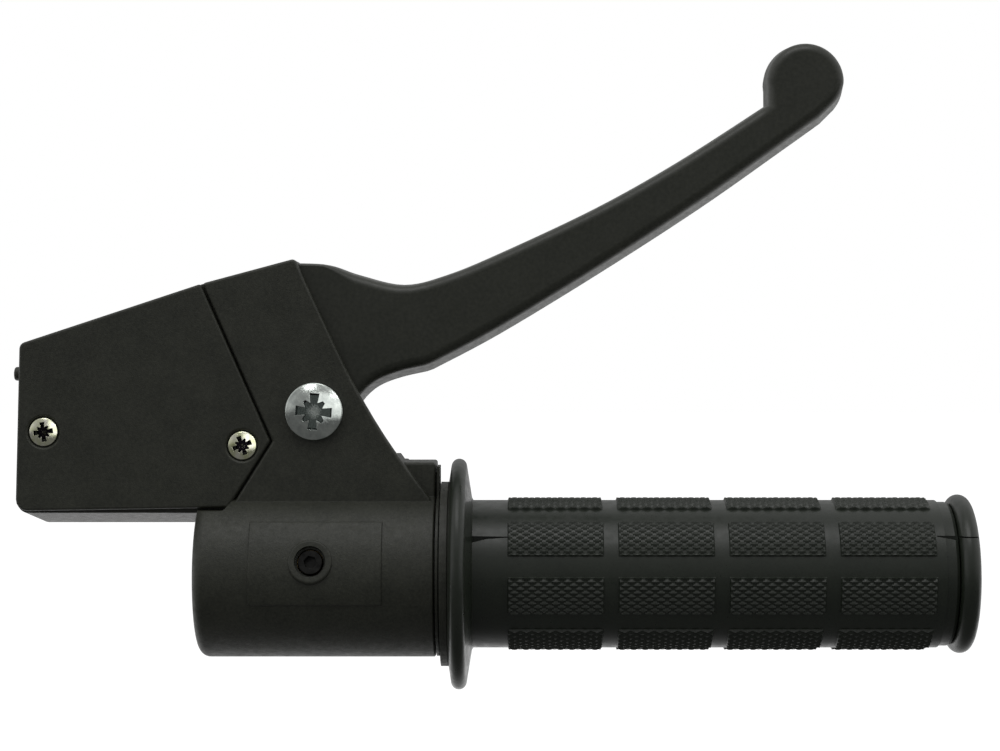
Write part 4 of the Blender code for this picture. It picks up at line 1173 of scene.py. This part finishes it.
def beside(nodes):
    """A distance that grows behind the object and, more slowly, to its left and right."""
    split = nodes.add("SeparateXYZ", {0: nodes.place})
    sideways = nodes.add("Math", {0: split.outputs["X"]}, operation="ABSOLUTE")
    inputs = {0: sideways.outputs["Value"], 1: FLOOR_SIDE_SHARE, 2: split.outputs["Y"]}
    return nodes.add("Math", inputs, operation="MULTIPLY_ADD").outputs["Value"]


def unless_seen(tree, value):
    """1 where the camera itself looks, and the value for all other rays."""
    seen = add_node(tree, "LightPath", {}).outputs["Is Camera Ray"]
    return add_node(tree, "Mix", {0: seen, 2: value, 3: 1.0}).outputs[0]


def make_floor():
    """White paper where the camera sees it, and dim in what it throws back at the object."""
    shape = bmesh.new()
    bmesh.ops.create_circle(shape, cap_ends=True, radius=6, segments=96)
    bmesh.ops.translate(shape, verts=shape.verts, vec=(0, 0, FLOOR_Z))
    floor = object_from("floor", shape)
    nodes = Nodes("floor_paper")
    thrown_back = nodes.ramp(beside(nodes), FLOOR_IN_FRONT, FLOOR_BEHIND, FLOOR_START_Y, FLOOR_END_Y)
    nodes.set(
        Base_Color=(0.05, 0.05, 0.05, 1),
        Roughness=0.9,
        Emission_Color=(1, 1, 1, 1),
        Emission_Strength=unless_seen(nodes.tree, thrown_back),
    )
    floor.data.materials.append(nodes.material)


def add_fade(tree, direction, axis, start, end, strength):
    """Light that grows from 0 to strength as the direction turns towards an axis."""
    turned_to = add_node(tree, "VectorMath", {0: direction, 1: axis}, operation="DOT_PRODUCT")
    towards = turned_to.outputs["Value"]
    return map_range(tree, towards, start, end, 0.0, strength, interpolation_type="SMOOTHSTEP")


def add_values(tree, first, second):
    return add_node(tree, "Math", {0: first, 1: second}).outputs["Value"]


def make_world():
    """A light tent that is bright above and behind, dark round the camera, and plain white as backdrop."""
    world = bpy.data.worlds.new("light_tent")
    bpy.context.scene.world = world
    world.use_nodes = True
    tree = world.node_tree
    direction = add_node(tree, "TexCoord", {}).outputs["Generated"]
    horizon = add_fade(tree, direction, (0, 0, 1), -0.06, 0.12, TENT_HORIZON)
    above = add_fade(tree, direction, (0, 0, 1), 0.3, 0.8, TENT_ABOVE)
    behind = add_fade(tree, direction, (0, 1, 0), 0.0, 0.7, TENT_BEHIND)
    left = add_fade(tree, direction, (-1, 0, 0), 0.4, 0.9, TENT_SIDES)
    right = add_fade(tree, direction, (1, 0, 0), 0.4, 0.9, TENT_SIDES)
    front_half = add_values(tree, add_values(tree, above, horizon), TENT_AROUND)
    tent = add_values(tree, front_half, add_values(tree, behind, add_values(tree, left, right)))
    background = tree.nodes["Background"]
    feed(tree, background.inputs["Color"], (1, 1, 1, 1))
    feed(tree, background.inputs["Strength"], unless_seen(tree, tent))


def add_softbox(name, position, size, radiance, lit=None):
    """An area light aimed at the grip; with a collection, it lights only the objects in that."""
    light = bpy.data.lights.new(name, "AREA")
    light.shape = "RECTANGLE"
    light.size, light.size_y = size
    light.energy = radiance * math.pi * size[0] * size[1]
    softbox = add_object(name, light)
    softbox.location = position
    aim = VIEW_CENTRE + Vector((HOUSING_FACE_X, 0, 0)) - Vector(position)
    softbox.rotation_mode = "QUATERNION"
    softbox.rotation_quaternion = aim.to_track_quat("-Z", "Y")
    if lit is not None:
        softbox.light_linking.receiver_collection = lit


def make_camera():
    data = bpy.data.cameras.new("camera")
    data.sensor_width = 36
    data.lens = data.sensor_width * CAMERA_DISTANCE / VIEW_WIDTH
    data.shift_x = -0.017
    camera = add_object("camera", data)
    camera.location = (VIEW_CENTRE.x + HOUSING_FACE_X, -CAMERA_DISTANCE, VIEW_CENTRE.z)
    camera.rotation_euler = (math.pi / 2, 0, 0)
    bpy.context.scene.camera = camera


# ---- the whole scene

nylon = moulded_nylon()
# The last colour given to each plated steel is the painted shade in its screw recesses.
bright_zinc = plated_steel("bright_zinc", (0.4, 0.43, 0.41), (0.62, 0.66, 0.62), (0.055, 0.065, 0.06))
yellow_zinc = plated_steel("yellow_zinc", (0.6, 0.64, 0.34), (0.95, 0.93, 0.84), (0.012, 0.01, 0.014))
black_steel = plain_solid("black_oxide_steel", (0.016, 0.016, 0.016), (0.04, 0.04, 0.038), 0.3, 1.0)
brass = plain_solid("brass", (0.3, 0.22, 0.1), (0.42, 0.32, 0.15), 0.35, 1.0)
acetal = plain_solid("natural_acetal", (0.68, 0.66, 0.6), (0.76, 0.74, 0.69), 0.4, 0.0)

to_frame(make_housing(), "housing", nylon, "housing")
to_frame(make_cover(), "housing", nylon, "cable_cover")
to_frame(make_lever(), "brake_lever", lever_plastic(), "brake_lever")
screws = bpy.data.collections.new("screws")
pivot_screw = make_pivot_screw()
screws.objects.link(pivot_screw)
to_frame(pivot_screw, "housing", bright_zinc, "pivot_screw")
for cover_screw in COVER_SCREWS:
    screw = make_cover_screw(cover_screw)
    screws.objects.link(screw)
    to_frame(screw, "housing", yellow_zinc, cover_screw)
to_frame(make_grip(), "twist_grip", grip_rubber(), "grip_rubber")

for packed_node, material, rounding in (
    ("end_washer", nylon, 0.1 * MM),
    ("twist_tube", nylon, 0.45 * MM),
    ("pivot_nut", bright_zinc, 0.2 * MM),
    ("pivot_lock_washer", bright_zinc, 0.1 * MM),
    ("pivot_bush", bright_zinc, 0),
    ("clamp_set_screw", black_steel, 0),
    ("clamp_thread_insert", brass, 0),
    ("throttle_slider", acetal, 0.15 * MM),
):
    finish_packed_node(packed_node, material, rounding)

make_floor()
make_world()
add_softbox("top_softbox", (-0.15, -0.36, 0.83), (0.6, 0.45), 1.75)
add_softbox("right_glint", (0.2, -0.5, 0.33), (0.12, 0.1), 9, screws)
add_softbox("upper_glint", (-0.25, -0.5, 0.42), (0.16, 0.05), 8, screws)
add_softbox("screw_fill", (0.05, -0.5, 0.12), (0.5, 0.35), 1.15, screws)
add_softbox("left_glint", (-0.42, -0.5, -0.12), (0.2, 0.08), 12, screws)
make_camera()
bpy.context.scene.view_settings.view_transform = "Standard"
